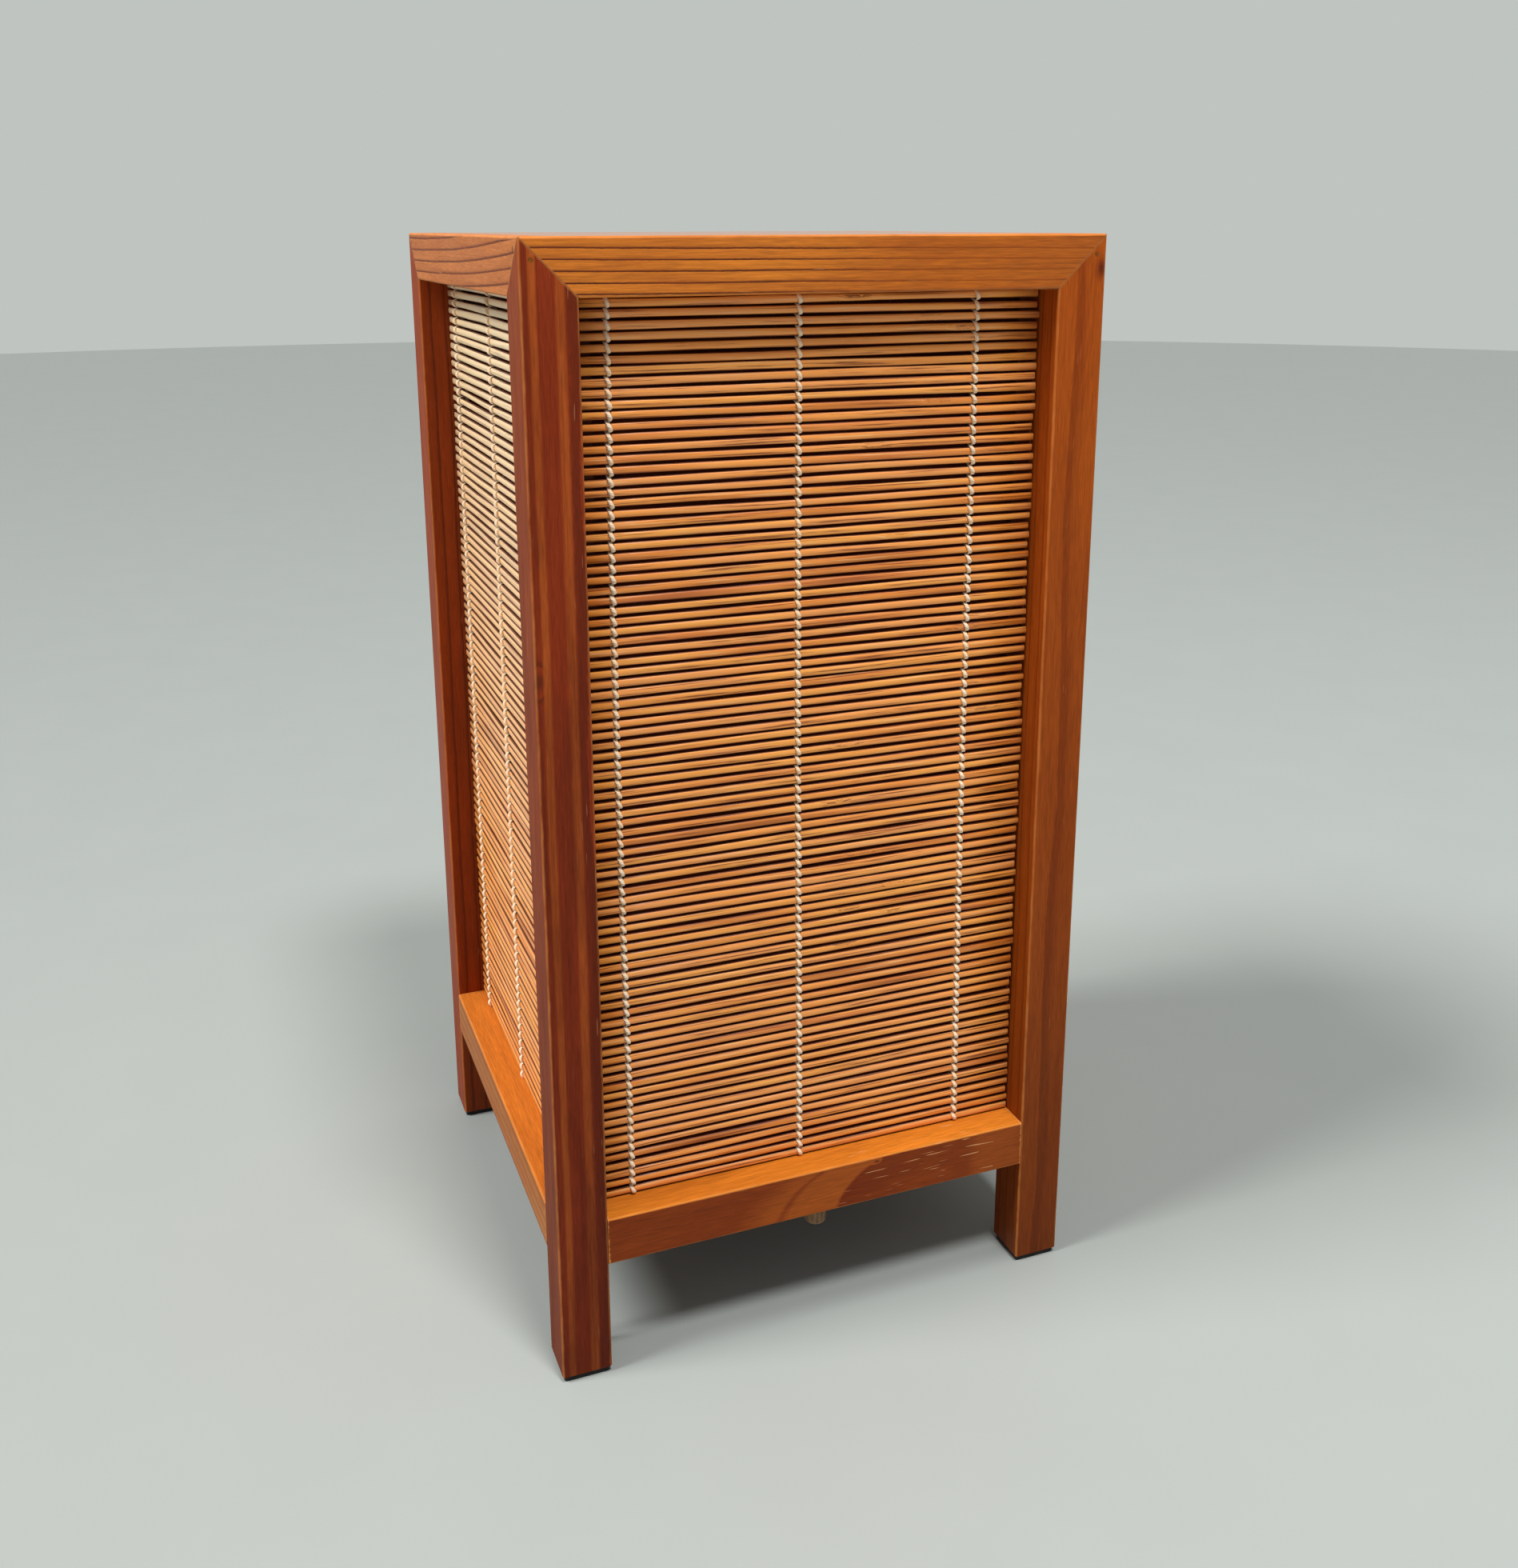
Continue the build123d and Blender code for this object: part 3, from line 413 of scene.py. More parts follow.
pinePieces = {
    # nearly straight rings, whose dark edges show as four or five lines on the outer face
    "top_rail_front": dict(
        axis="X", mitre=(-1, 1, True), early="#E28228", late="#5A2406", lateAmount=1.0, coat=0.3,
        pith=(20, 95), tilt=(0, -0.006), ringSpacing=3.85, ringEnd=94.4, uneven=0.15, wave=0.8,
        # the second band gives the top face an even, darker colour without the dark lines: painted shade against the
        # strong light from above
        bands=((0, 115, 120, 0.75, "#B25810"), (2, halfStock, 1.2, 0.85, "#D97820"))),
    "top_rail_back": dict(
        axis="X", mitre=(1, 1, True), pith=(-15, -70), tilt=(0.01, -0.01), ringSpacing=4.9, coat=0.3),
    "top_rail_left": dict(
        axis="Y", mitre=(-1, 1, True), early="#CC793C", late="#6C300C", lateAmount=1.0, coat=0.08,
        pith=(0, 90), tilt=(0, -0.03), bow=-2.0, ringSpacing=5.1, ringEnd=86.2, uneven=0.15, wave=0.8,
        # the band gives the top face an even colour without the dark lines: painted light on the top, where the light
        # from above falls
        bands=((2, halfStock, 1.2, 0.85, "#CC793C"),)),
    "top_rail_right": dict(axis="Y", mitre=(1, 1, True), pith=(-60, 35), ringSpacing=5.0, coat=0.3),
    # dark heartwood with two paler streaks, and a painted sheen on its left face
    "post_front_left": dict(
        axis="Z", mitre=(-1, -1, False), early="#983614", late="#6C2610", deep="#6A2409", deepAmount=0.55,
        pith=(-3, 60), ringSpacing=3.6, streaks=0.6, paintedFootShade=0.45, roughness=0.74,
        knots=((73, -9.2, -10.5, 1.6),),
        # the third band makes the left face paler and pinker: painted sheen
        bands=((1, -6.0, 1.6, 0.8, "#BE5C22"), (1, 4.0, 1.9, 0.7, "#BE5C22"), (1, -halfStock, 0.6, 0.5, "#9C5228"))),
    "post_front_right": dict(
        axis="Z", mitre=(1, -1, False), early="#B85614", late="#823408", deep="#963C0A", lateAmount=0.6,
        pith=(14, 42), ringSpacing=5.5, knots=((221, 8.6, -11, 1.3),), paintedFootShade=0.59),
    "post_back_left": dict(
        axis="Z", mitre=(-1, 1, False), early="#A34214", late="#6A290C", deep="#742C0E",
        pith=(-30, -40), ringSpacing=4.8, paintedFootShade=0.25),
    "post_back_right": dict(axis="Z", mitre=(1, 1, False), pith=(40, 30), ringSpacing=5.2, paintedFootShade=0.25),
    # sawn almost along the rings: one ring's dark end crosses the face as a parabola
    "bottom_rail_front": dict(
        axis="X", early="#A6521A", late="#742C0C", lateAmount=1.0, deepAmount=0.25, streaks=0.15, roughness=0.7,
        pith=(-131, -13.25), tilt=(0.098, 0.0), ringSpacing=13.0, ringEnd=120.0, uneven=0.0, wave=0.3, ragged=0.1,
        ringStops=((0.0, 0.0), (0.17, 0.1), (0.195, 0.75), (0.215, 0.12), (0.25, 0.25), (0.36, 0.85),
                   (0.7, 0.8), (0.985, 1.0), (1.0, 0.0)),
        # the second band makes the top face far paler than the front: painted light from above
        bands=((0, 86.0, 14.0, 0.7, "#A04F1A"), (2, halfStock, 0.7, 0.72, "#EE8E28")),
        knots=((25.0, -halfStock, 8.6, 0.6),), flecks=(0.85, 0.735, 42.0, 42.0)),
    "bottom_rail_back": dict(axis="X", pith=(25, -80), ringSpacing=5.0),
    "bottom_rail_left": dict(
        axis="Y", early="#A8682F", late="#844820", pith=(10, -70), ringSpacing=5.4,
        # the band makes the top face far paler than the side: painted light from above
        bands=((2, halfStock, 0.7, 0.95, "#E2812A"),)),
    "bottom_rail_right": dict(axis="Y", pith=(-20, -60), ringSpacing=4.7),
}
for piece, values in pinePieces.items():
    cover(pineMaterial("stained_pine_" + piece, piece, **values), piece)

# Plywood, sliced pine face veneer, same stain and varnish: broad cathedral rings and an even sheen; its colours are set
# darker and duller than the frame's as painted shade against the strong light on the top
cover(pineMaterial("stained_pine_plywood", "top_panel", "X", early="#BE7234", late="#8E4C1E", lateAmount=0.6,
                   deepAmount=0.3, pith=(6, -34), ringSpacing=5.4, wave=3.0, coat=0.9), "top_panel")
print("pine members and top panel finished")


# Sides of the lamp: the direction to the right along each, and outwards
sides = {
    "front": ((1, 0, 0), (0, -1, 0)),
    "back": ((-1, 0, 0), (0, 1, 0)),
    "left": ((0, -1, 0), (-1, 0, 0)),
    "right": ((0, 1, 0), (1, 0, 0)),
}
upward = np.array([0, 0, 1.0])


def sideFrame(node, name):
    # right and outward directions, and the middle and size of a node's box, in metres
    low, high = (np.array(corner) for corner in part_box(node))
    right, outward = (np.array(v, float) for v in sides[name])
    return right, outward, (low + high) / 2, high - low


def sidePoints(middle, right, outward, side, height, depth):
    # points a distance side to the right of a box's middle and depth outwards of it, height above the floor
    return middle * (1 - upward) + side[..., None] * right + height[..., None] * upward + depth[..., None] * outward


reeds = {
    "count": 90,
    "pieces": 8,  # lengths of tube per reed
    "around": 8,
    "thinner": 0.04,  # mm off every radius
    "thinnerSpread": 0.07,  # mm more, by chance
    "swell": (0.16, -0.28, 0.2),  # mm on the radius, slowly along the reed: usual, least and most
    "sag": (0.28, -0.42, 0.42),  # mm, slow wander up and down
    "step": (0.2, -0.3, 0.3),  # mm, wander in and out
    "slowest": 0.7,  # waves of the slowest wander on a reed
    "snug": 0.1,  # mm on the radius of the highest reeds, which are pressed together
    "snugFrom": 76,
    "snugOver": 6,  # reeds until it is full
    "flatness": 0.66,  # depth over height, with the fronts kept in place
    "squareness": 0.66,  # exponent, 1 is round and less is squarer
    "endSpread": 0.75,  # mm, how unevenly the ends are cut
    "turnShare": 0.97,  # what one turn adds to v, short of the next reed's number
}


def makeReeds(name):
    # Reed: superellipse of radius r carried along the line z = z0 + lift(s), depth(s), with s from -1 to 1; r, lift and
    # depth wander slowly, and each end is cut a little off. v = reed number + turn, u = place along in cm.
    right, outward, middle, size = sideFrame("reeds_" + name, name)
    count, rows, across = reeds["count"], reeds["pieces"] + 1, reeds["around"]
    length, thickness, height = abs(size @ right), abs(size @ outward), size[2]
    radius = thickness / 2
    number = np.arange(count)[:, None]
    z0 = middle[2] - height / 2 + radius + number * (height - thickness) / (count - 1)
    s = np.linspace(-1, 1, rows)

    def wander(usual, least, most, waves=3):
        # smooth random curve along each reed: a few sines of random phase, mostly within the usual size, in mm
        order = np.arange(1, waves + 1)[None, :, None]
        phase = rng.uniform(0, 2 * np.pi, (count, waves, 1))
        strength = rng.normal(0, 1, (count, waves, 1)) / order
        twoSigma = 1.6  # of the sum below
        curve = usual / twoSigma * mm * (strength * np.sin(phase + s * np.pi * order * reeds["slowest"])).sum(1)
        return np.clip(curve, least * mm, most * mm)

    lift = wander(*reeds["sag"])
    depth = wander(*reeds["step"]) + (1 - reeds["flatness"]) * radius
    snug = np.clip((number - reeds["snugFrom"]) / reeds["snugOver"], 0, 1) * reeds["snug"] * mm
    r = radius - reeds["thinner"] * mm + wander(*reeds["swell"], waves=4) \
        - np.abs(rng.normal(0, reeds["thinnerSpread"], (count, 1))) * mm + snug
    cut = rng.uniform(-1, 1, (count, 2)) * reeds["endSpread"] * mm
    place = s * length / 2 + np.maximum(-s, 0) * cut[:, :1] + np.maximum(s, 0) * cut[:, 1:]
    turn = (np.arange(across) + 0.5) / across * 2 * np.pi + np.pi / 2
    up = np.sign(np.sin(turn)) * np.abs(np.sin(turn)) ** reeds["squareness"]
    out = np.sign(np.cos(turn)) * np.abs(np.cos(turn)) ** reeds["squareness"]
    up, out = up / up.max(), out / out.max()

    points = sidePoints(middle, right, outward, place[:, :, None],
                        (z0 + lift)[:, :, None] + r[:, :, None] * up,
                        depth[:, :, None] + reeds["flatness"] * r[:, :, None] * out)
    u = np.broadcast_to((place * 100)[:, :, None], (count, rows, across + 1))
    v = np.broadcast_to(number[:, :, None] + np.arange(across + 1) / across * reeds["turnShare"], u.shape)
    made = makeTubes("mat_reeds_" + name, points, u, v)
    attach(made, "frame")
    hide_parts("reeds_" + name)
    return made


reedFinish = {
    "tones": ((0.2, "#B8641A"), (0.34, "#EE8E38"), (0.48, "#FFAA4C"), (0.58, "#F8A054"), (0.68, "#FFA248"),
              (0.84, "#DE7E34"), (0.95, "#AC5824")),
    "ownTone": 0.45,  # weight of a reed's own tone
    "longTone": 0.65,  # weight of the slow change along it
    "darkFibre": "#82360C",
    "paleFibreAndHighlight": "#FFC888",
    # painted sheen: paler, whiter reeds, standing in for light glancing off the lacquer
    "paintedSheenColour": "#FFE6B8",
    "paintedSheenHeights": (0.16, 0.42),  # m, where the painted sheen starts and where it is full
    "paintedSheenAmount": 0.92,
    # painted shade where the reeds meet
    "creaseShade": "#5A1E08",
    "creaseShadeAmount": 0.92,
    "nodeShare": 0.28,  # of the reeds have a rough node
    "nodePlaces": (1.0, 8.5),  # cm to the right of the middle
}


# Peeled reed, split by hand, clear satin lacquer: every reed has its own tone, with darker fibres along it,
# ochre and pinkish stretches, a rough node on about every fourth reed, and painted shade where the reeds meet.
def reedMaterial(name, sheenShare):
    # u is the place along the reed in cm, v its number and the turn around it: 0.91 top, 0.42 bottom, 0.67 front
    made, tree, shader = startMaterial(name, IOR=1.45, Roughness=0.42, Coat_Weight=0.18, Coat_Roughness=0.28)
    run = addNode(tree, "UVMap", uv_map="run")
    parts = addNode(tree, "SeparateXYZ", {0: run})
    number = addNode(tree, "Math", {0: parts.outputs[1]}, operation="FLOOR")
    chances = []
    for shift in (0.0, 31.7, 77.3):
        at = addNode(tree, "Math", {0: number, 1: shift}, operation="ADD") if shift else number
        chances.append(addNode(tree, "TexWhiteNoise", {"W": at}, noise_dimensions="1D"))
    tone, nodeChance, nodePlace = chances

    # node: some reeds have one, at a place of its own, and the grain swirls around it
    nodeLow, nodeHigh = reedFinish["nodePlaces"]
    nodePlace = addNode(tree, "MapRange", {0: nodePlace, 1: 0.0, 2: 1.0, 3: nodeLow, 4: nodeHigh})
    hasNode = addNode(tree, "Math", {0: nodeChance, 1: 1 - reedFinish["nodeShare"]}, operation="GREATER_THAN")
    near = addNode(tree, "Math", {0: parts.outputs[0], 1: nodePlace}, operation="SUBTRACT")
    near = addNode(tree, "Math", {0: near}, operation="ABSOLUTE")
    near = addNode(tree, "MapRange", {0: near, 1: 0.15, 2: 0.9, 3: 1.0, 4: 0.0}, interpolation_type="SMOOTHSTEP")
    near = addNode(tree, "Math", {0: near, 1: hasNode}, operation="MULTIPLY")
    swirl = addNode(tree, "VectorMath", {0: run, 1: (2.6, 2.2, 0)}, operation="MULTIPLY")
    swirl = addNode(tree, "TexNoise", {"Vector": swirl, "Scale": 1.0, "Detail": 2.0})
    swirl = addNode(tree, "Math", {0: swirl.outputs[0], 1: near}, operation="MULTIPLY")

    # fibres, ten to a turn, and the tone's slow change
    swirlBoth = addNode(tree, "CombineXYZ", {0: swirl, 1: swirl})
    fibreAt = addNode(tree, "VectorMath", {0: run, 1: (0.16, 10.0, 0)}, operation="MULTIPLY")
    fibreAt = addNode(tree, "VectorMath", {0: fibreAt, 1: swirlBoth}, operation="ADD")
    fibre = addNode(tree, "TexNoise", {"Vector": fibreAt, "Scale": 1.0, "Detail": 4.0, "Roughness": 0.7}).outputs[0]
    longAt = addNode(tree, "VectorMath", {0: run, 1: (0.11, 1.7, 0)}, operation="MULTIPLY")
    longTone = addNode(tree, "TexNoise", {"Vector": longAt, "Scale": 1.0, "Detail": 1.0}).outputs[0]
    mixed = addNode(tree, "Math", {0: longTone, 1: reedFinish["longTone"]}, operation="MULTIPLY")
    mixed = addNode(tree, "Math", {0: tone, 1: reedFinish["ownTone"], 2: mixed}, operation="MULTIPLY_ADD")
    colour = addNode(tree, "ValToRGB", {0: mixed}, stops=reedFinish["tones"]).outputs[0]
    # painted sheen: the reeds grow paler and whiter towards the top, with fewer dark fibres, for light glancing off the
    # lacquer
    if sheenShare:
        height = addNode(tree, "SeparateXYZ", {0: addNode(tree, "TexCoord").outputs["Object"]}).outputs[2]
        low, high = reedFinish["paintedSheenHeights"]
        sheenMask = addNode(tree, "MapRange", {0: height, 1: low, 2: high, 3: 0.0, 4: sheenShare})
        colour = addNode(tree, "Mix", {0: sheenMask, 6: colour, 7: linear(reedFinish["paintedSheenColour"])}, data_type="RGBA")
        colour = colour.outputs[2]
    dark = addNode(tree, "MapRange", {0: fibre, 1: 0.54, 2: 0.64, 3: 0.0, 4: 0.85 - 0.5 * sheenShare})
    colour = addNode(tree, "Mix", {0: dark, 6: colour, 7: linear(reedFinish["darkFibre"])}, data_type="RGBA").outputs[2]
    # pale fibres, brightened as a painted highlight on the reeds
    pale = addNode(tree, "MapRange", {0: fibre, 1: 0.32, 2: 0.42, 3: 0.85, 4: 0.0})
    colour = addNode(tree, "Mix", {0: pale, 6: colour, 7: linear(reedFinish["paleFibreAndHighlight"])}, data_type="RGBA").outputs[2]

    # painted shade where the reeds meet: cosine of the angle from the reed's top or bottom, plus the fibres' noise
    turn = addNode(tree, "Math", {0: parts.outputs[1]}, operation="FRACT")
    turn = addNode(tree, "Math", {0: turn, 1: 2 * math.pi / reeds["turnShare"], 2: math.pi / reeds["around"]},
                   operation="MULTIPLY_ADD")
    edge = addNode(tree, "Math", {0: addNode(tree, "Math", {0: turn}, operation="COSINE")}, operation="ABSOLUTE")
    edge = addNode(tree, "Math", {0: fibre, 1: 0.6, 2: edge}, operation="MULTIPLY_ADD")
    creaseShade = addNode(tree, "MapRange", {0: edge, 1: 1.0, 2: 1.2, 3: 0.0, 4: reedFinish["creaseShadeAmount"]})
    colour = addNode(tree, "Mix", {0: creaseShade, 6: colour, 7: linear(reedFinish["creaseShade"])}, data_type="RGBA").outputs[2]
    tree.links.new(colour, shader.inputs["Base Color"])

    # raised fibres, more so at a node
    height = addNode(tree, "Math", {0: near, 1: 1.5, 2: 1.0}, operation="MULTIPLY_ADD")
    height = addNode(tree, "Math", {0: fibre, 1: height}, operation="MULTIPLY")
    bump = addNode(tree, "Bump", {"Strength": 0.7, "Distance": 0.3 * mm, "Height": height})
    tree.links.new(bump.outputs[0], shader.inputs["Normal"])
    return made


reedLook = reedMaterial("peeled_reed", 0.0)
# the left mat gets the copy with the painted sheen
sheenedReedLook = reedMaterial("peeled_reed_painted_sheen", reedFinish["paintedSheenAmount"])
for name in sides:
    makeReeds(name).data.materials.append(sheenedReedLook if name == "left" else reedLook)
print("reed mats made")

strings = {
    "count": 3,
    "inset": 1.0,  # mm that the outer ones stand nearer to the middle
    "rowsPerReed": 8,
    "around": 6,
    "widthRadius": 0.98,  # mm, of a strand where it lies over a reed
    "depthRadius": 0.82,
    "widthSpread": 0.05,  # by chance, as a share
    "narrow": 0.74,  # how much thinner it is pulled between two reeds
    "narrowPower": 0.7,  # less keeps it wide for longer
    "slant": 0.55,  # mm that it leans to each side as it crosses a reed
    "clear": 0.66,  # mm, strand's middle in front of the reed
    "clearPower": 0.45,  # less keeps it in front for longer
    # a string leans by so many mm times (leanFrom - share of the height) ^ leanPower, below leanFrom
    "lean": {"front": 2.6, "back": 1.5, "left": 1.2, "right": 2.0},
    "leanFrom": 0.55,
    "leanPower": 1.3,
    "sway": {"front": 0.24, "back": 0.36, "left": 0.32, "right": 0.28},  # mm to each side
    "swayReeds": 17,  # reeds per radian
}


def makeStrings(name):
    # Two strands per string. With f = pi * height in reeds (+ pi for the second), a strand's depth is
    # A * sign(cos f) * |cos f| ^ clearPower and its side step is -slant * sin f, on top of the string's lean and sway.
    right, outward, middle, size = sideFrame("strings_" + name, name)
    low, high = (np.array(corner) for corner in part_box("reeds_" + name))
    thickness = abs((high - low) @ outward)
    pitch = (high[2] - low[2] - thickness) / (reeds["count"] - 1)
    span = abs(size @ right)
    across = strings["around"]
    # height in reeds, from the mat's lower edge to its upper
    k = np.arange(reeds["count"] * strings["rowsPerReed"] + 1) / strings["rowsPerReed"] - 0.5
    z = low[2] + thickness / 2 + k * pitch
    base = np.linspace(-span / 2, span / 2, strings["count"])
    base = base - np.sign(base) * strings["inset"] * mm
    depthA = thickness / 2 + strings["clear"] * mm
    turn = (np.arange(across) + 0.5) / across * 2 * np.pi
    leanShare = np.clip(strings["leanFrom"] - k / reeds["count"], 0, 1) ** strings["leanPower"]
    points = []
    for index in range(strings["count"]):
        swayPhase = rng.uniform(0, 6.28)
        drift = strings["lean"][name] * mm * leanShare \
            + strings["sway"][name] * mm * np.sin(k / strings["swayReeds"] + swayPhase)
        for strand in range(2):
            f = np.pi * (k + strand)
            over = np.abs(np.cos(f))
            depth = depthA * np.sign(np.cos(f)) * over ** strings["clearPower"]
            side = -strings["slant"] * mm * np.sin(f) + base[index] + drift
            squeeze = strings["narrow"] + (1 - strings["narrow"]) * over ** strings["narrowPower"]
            wide = strings["widthRadius"] * mm * squeeze * (1 + strings["widthSpread"] * rng.normal(0, 1, len(k)))
            deep = strings["depthRadius"] * mm * squeeze
            points.append(sidePoints(middle, right, outward,
                                     side[:, None] + wide[:, None] * np.sin(turn), z[:, None],
                                     depth[:, None] + deep[:, None] * np.cos(turn)))
    u = np.broadcast_to(k[:, None], (len(points), len(k), across + 1))
    v = np.broadcast_to(np.arange(across + 1) / across, u.shape)
    made = makeTubes("mat_strings_" + name, np.array(points), u, v)
    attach(made, "frame")
    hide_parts("strings_" + name)
    return made


# Twisted undyed cotton twine: fuzzy and matt, with the slant of its plies and painted shade in the hollows between them
twine, tree, shader = startMaterial(
    "undyed_cotton_twine", Roughness=0.85, Sheen_Weight=0.25, Sheen_Roughness=0.5, Specular_IOR_Level=0.25)
run = addNode(tree, "UVMap", uv_map="run")
ply = addNode(tree, "VectorMath", {0: run, 1: (2.2, 1.0, 0)}, operation="MULTIPLY")
parts = addNode(tree, "SeparateXYZ", {0: ply})
slanted = addNode(tree, "Math", {0: parts.outputs[0], 1: parts.outputs[1]}, operation="ADD")
plies = addNode(tree, "Math", {0: slanted, 1: 4 * math.pi}, operation="MULTIPLY")
plies = addNode(tree, "Math", {0: plies}, operation="SINE")
twineAt = addNode(tree, "TexCoord").outputs["Object"]
fuzz = addNode(tree, "TexNoise", {"Vector": twineAt, "Scale": 900.0, "Detail": 3.0})
height = addNode(tree, "Math", {0: plies, 1: 0.35, 2: fuzz.outputs[0]}, operation="MULTIPLY_ADD")
soil = addNode(tree, "TexNoise", {"Vector": twineAt, "Scale": 60.0, "Detail": 3.0})
colour = addNode(tree, "ValToRGB", {0: soil.outputs[0]}, stops=[(0.3, "#FFDDB4"), (0.55, "#FFE6C4"), (0.75, "#FFEFD6")])
# painted shade in the hollows between the plies
plyCreaseShade = addNode(tree, "MapRange", {0: plies, 1: -1.0, 2: 0.2, 3: 0.25, 4: 0.0})
colour = addNode(tree, "Mix", {0: plyCreaseShade, 6: colour, 7: linear("#B98B66")}, data_type="RGBA").outputs[2]
tree.links.new(colour, shader.inputs["Base Color"])
bump = addNode(tree, "Bump", {"Strength": 0.6, "Distance": 0.2 * mm, "Height": height})
tree.links.new(bump.outputs[0], shader.inputs["Normal"])

for name in sides:
    makeStrings(name).data.materials.append(twine)
print("strings made")

# Stained softwood strips behind the mats: as the frame, but darker and finer
cover(pineMaterial("stained_softwood_strip", "battens_front", "Z", early="#6E3416", late="#4C210D", deep="#54250F",
                   worn="#7E4220", flecks=(0.0, 0.8, 0.0, 500.0), ringSpacing=3.0),
      "battens_front", "battens_back", "battens_left", "battens_right", "rail_dowels")

# Handmade mulberry paper: dark brown, dull, with long lighter fibres; the dark brown is painted shade for the gaps
# between the reeds
lining, tree, shader = startMaterial("lining_paper_painted_shade", Roughness=0.82, Specular_IOR_Level=0.2)
sheet = addNode(tree, "TexCoord").outputs["Object"]
cloud = addNode(tree, "TexNoise", {"Vector": sheet, "Scale": 24.0, "Detail": 4.0, "Roughness": 0.6})
colour = addNode(tree, "ValToRGB", {0: cloud}, stops=[(0.3, "#5A220C"), (0.55, "#6C2B0F"), (0.75, "#7A3716")])
strand = addNode(tree, "TexNoise", {"Vector": sheet, "Scale": 160.0, "Detail": 3.0, "Distortion": 3.0})
thread = addNode(tree, "MapRange", {0: strand.outputs[0], 1: 0.6, 2: 0.72, 3: 0.0, 4: 0.5})
colour = addNode(tree, "Mix", {0: thread, 6: colour, 7: linear("#8E4A22")}, data_type="RGBA").outputs[2]
tree.links.new(colour, shader.inputs["Base Color"])
bump = addNode(tree, "Bump", {"Strength": 0.4, "Distance": 0.1 * mm, "Height": strand.outputs[0]})
tree.links.new(bump.outputs[0], shader.inputs["Normal"])
cover(lining, *("lining_" + name for name in sides))

# Matt black rubber, moulded: faint dust and a fine grain
rubber, tree, shader = startMaterial("matt_black_rubber", Roughness=0.78, Specular_IOR_Level=0.35)
dust = addNode(tree, "TexCoord").outputs["Object"]
dust = addNode(tree, "TexNoise", {"Vector": dust, "Scale": 220.0, "Detail": 4.0})
colour = addNode(tree, "ValToRGB", {0: dust.outputs[0]}, stops=[(0.35, "#161616"), (0.6, "#1E1D1C"), (0.8, "#34312E")])
tree.links.new(colour.outputs[0], shader.inputs["Base Color"])
bump = addNode(tree, "Bump", {"Strength": 0.3, "Distance": 0.1 * mm, "Height": dust.outputs[0]})
tree.links.new(bump.outputs[0], shader.inputs["Normal"])
cover(rubber, "foot_pads")


def metalMaterial(name, light, dark, roughness, scale, stretch):
    # metal whose tone and roughness change along drawn or turned streaks, or in spangles where stretch is 1
    made, tree, shader = startMaterial(name, Metallic=1.0)
    at = addNode(tree, "TexCoord").outputs["Object"]
    at = addNode(tree, "VectorMath", {0: at, 1: stretch}, operation="MULTIPLY")
    streaks = addNode(tree, "TexNoise", {"Vector": at, "Scale": scale, "Detail": 4.0, "Roughness": 0.6})
    colour = addNode(tree, "ValToRGB", {0: streaks.outputs[0]}, stops=[(0.3, dark), (0.7, light)])
    tree.links.new(colour.outputs[0], shader.inputs["Base Color"])
    rough = addNode(tree, "MapRange", {0: streaks.outputs[0], 1: 0.3, 2: 0.7, 3: roughness + 0.08, 4: roughness - 0.06})
    tree.links.new(rough.outputs[0], shader.inputs["Roughness"])
    bump = addNode(tree, "Bump", {"Strength": 0.15, "Distance": 0.05 * mm, "Height": streaks.outputs[0]})
    tree.links.new(bump.outputs[0], shader.inputs["Normal"])
    return made


# Zinc-plated steel: bluish grey, satin
cover(metalMaterial("zinc_plated_steel", "#C2C4C6", "#8F9294", 0.36, 500.0, (1, 1, 1)), "holder_strap",
      "thumb_stud_front", "thumb_stud_back", "thumb_washer_front", "thumb_washer_back", "batten_pins")
# Wire brads under the same stain: dull brown
cover(metalMaterial("stained_wire_brad", "#A8672F", "#7E4318", 0.55, 700.0, (1, 1, 1)), "corner_brads")
# Turned and drawn brass, a little tarnished
cover(metalMaterial("turned_brass", "#D8B46A", "#A67F3C", 0.3, 420.0, (1, 1, 0.1)), "rail_inserts",
      "holder_nipple", "nipple_nut", "terminal_screws", "screw_shell", "contact_leaf")
# Drawn aluminium of the bulb's cap
cover(metalMaterial("drawn_aluminium", "#D2D3D2", "#A9ABAB", 0.28, 380.0, (1, 1, 0.1)), "bulb_cap", "bulb_contact")
# Tungsten and nickel wire
cover(metalMaterial("drawn_lamp_wire", "#8E8E90", "#5C5C60", 0.4, 600.0, (1, 1, 1)), "bulb_leads", "bulb_filament")


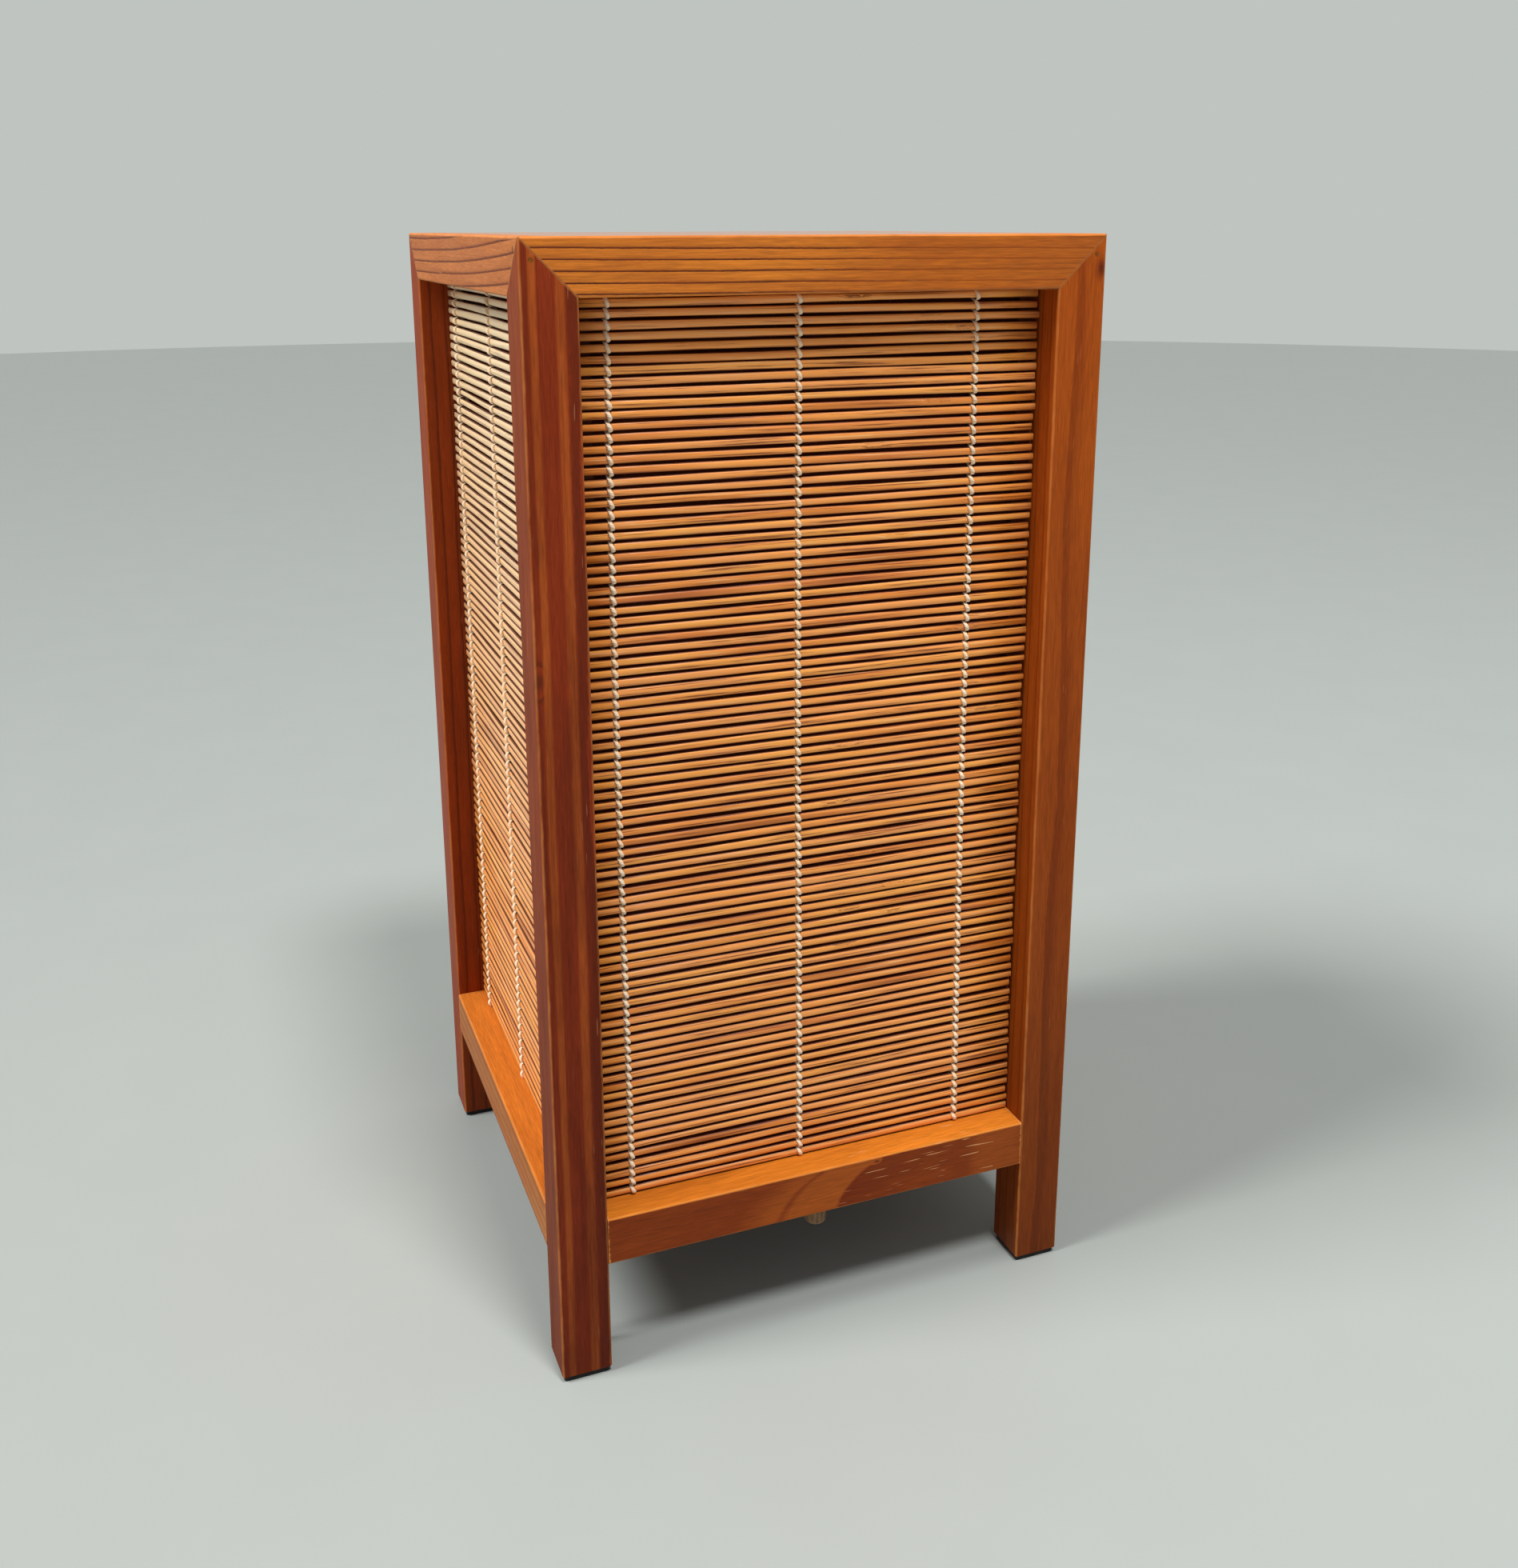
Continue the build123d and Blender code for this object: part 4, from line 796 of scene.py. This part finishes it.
def mouldedMaterial(name, light, dark, roughness, scale, depth, **values):
    # moulded, fired or pressed pieces: fine mottle in colour, roughness and surface, depth in mm
    made, tree, shader = startMaterial(name, **values)
    at = addNode(tree, "TexCoord").outputs["Object"]
    mottle = addNode(tree, "TexNoise", {"Vector": at, "Scale": scale, "Detail": 4.0})
    colour = addNode(tree, "ValToRGB", {0: mottle.outputs[0]}, stops=[(0.3, dark), (0.7, light)])
    tree.links.new(colour.outputs[0], shader.inputs["Base Color"])
    rough = addNode(tree, "MapRange", {0: mottle.outputs[0], 1: 0.3, 2: 0.7, 3: roughness + 0.06, 4: roughness - 0.04})
    tree.links.new(rough.outputs[0], shader.inputs["Roughness"])
    bump = addNode(tree, "Bump", {"Strength": 0.25, "Distance": depth * mm, "Height": mottle.outputs[0]})
    tree.links.new(bump.outputs[0], shader.inputs["Normal"])
    return made


# Tan nylon, moulded: waxy, slightly see-through at its edges; its colour set darker as painted shade, for its place
# under the rail
cover(mouldedMaterial("tan_nylon_painted_shade", "#8F6A3E", "#73522E", 0.42, 300.0, 0.05, Subsurface_Weight=0.15,
                      Subsurface_Scale=2 * mm), "thumb_knob_front", "thumb_knob_back")
# Black phenolic, compression moulded: deep gloss with a faint orange peel
cover(mouldedMaterial("black_moulded_phenolic", "#1B1816", "#0E0C0B", 0.24, 240.0, 0.04), "holder_cap", "holder_skirt")
# White porcelain, pressed and fired without glaze
cover(mouldedMaterial("unglazed_porcelain", "#E9E6DE", "#D6D1C6", 0.55, 350.0, 0.05), "holder_ceramic")
# Opal glass: flashed white inside a clear skin, smooth and bright
cover(mouldedMaterial("opal_glass", "#F5F4EF", "#ECEAE3", 0.12, 25.0, 0.01, IOR=1.52, Coat_Weight=0.3,
                      Coat_Roughness=0.04, Subsurface_Weight=0.3, Subsurface_Scale=4 * mm), "bulb_envelope")
# Dark vitrified glass of the insulator and clear lead glass of the stem
cover(mouldedMaterial("black_vitrite_glass", "#1A1C22", "#0C0D12", 0.1, 80.0, 0.01, IOR=1.6), "bulb_insulator")
cover(mouldedMaterial("clear_lead_glass", "#EEF3F2", "#E2EAE8", 0.06, 40.0, 0.01, IOR=1.56,
                      Transmission_Weight=0.95), "bulb_stem")
print("all CAD nodes covered")
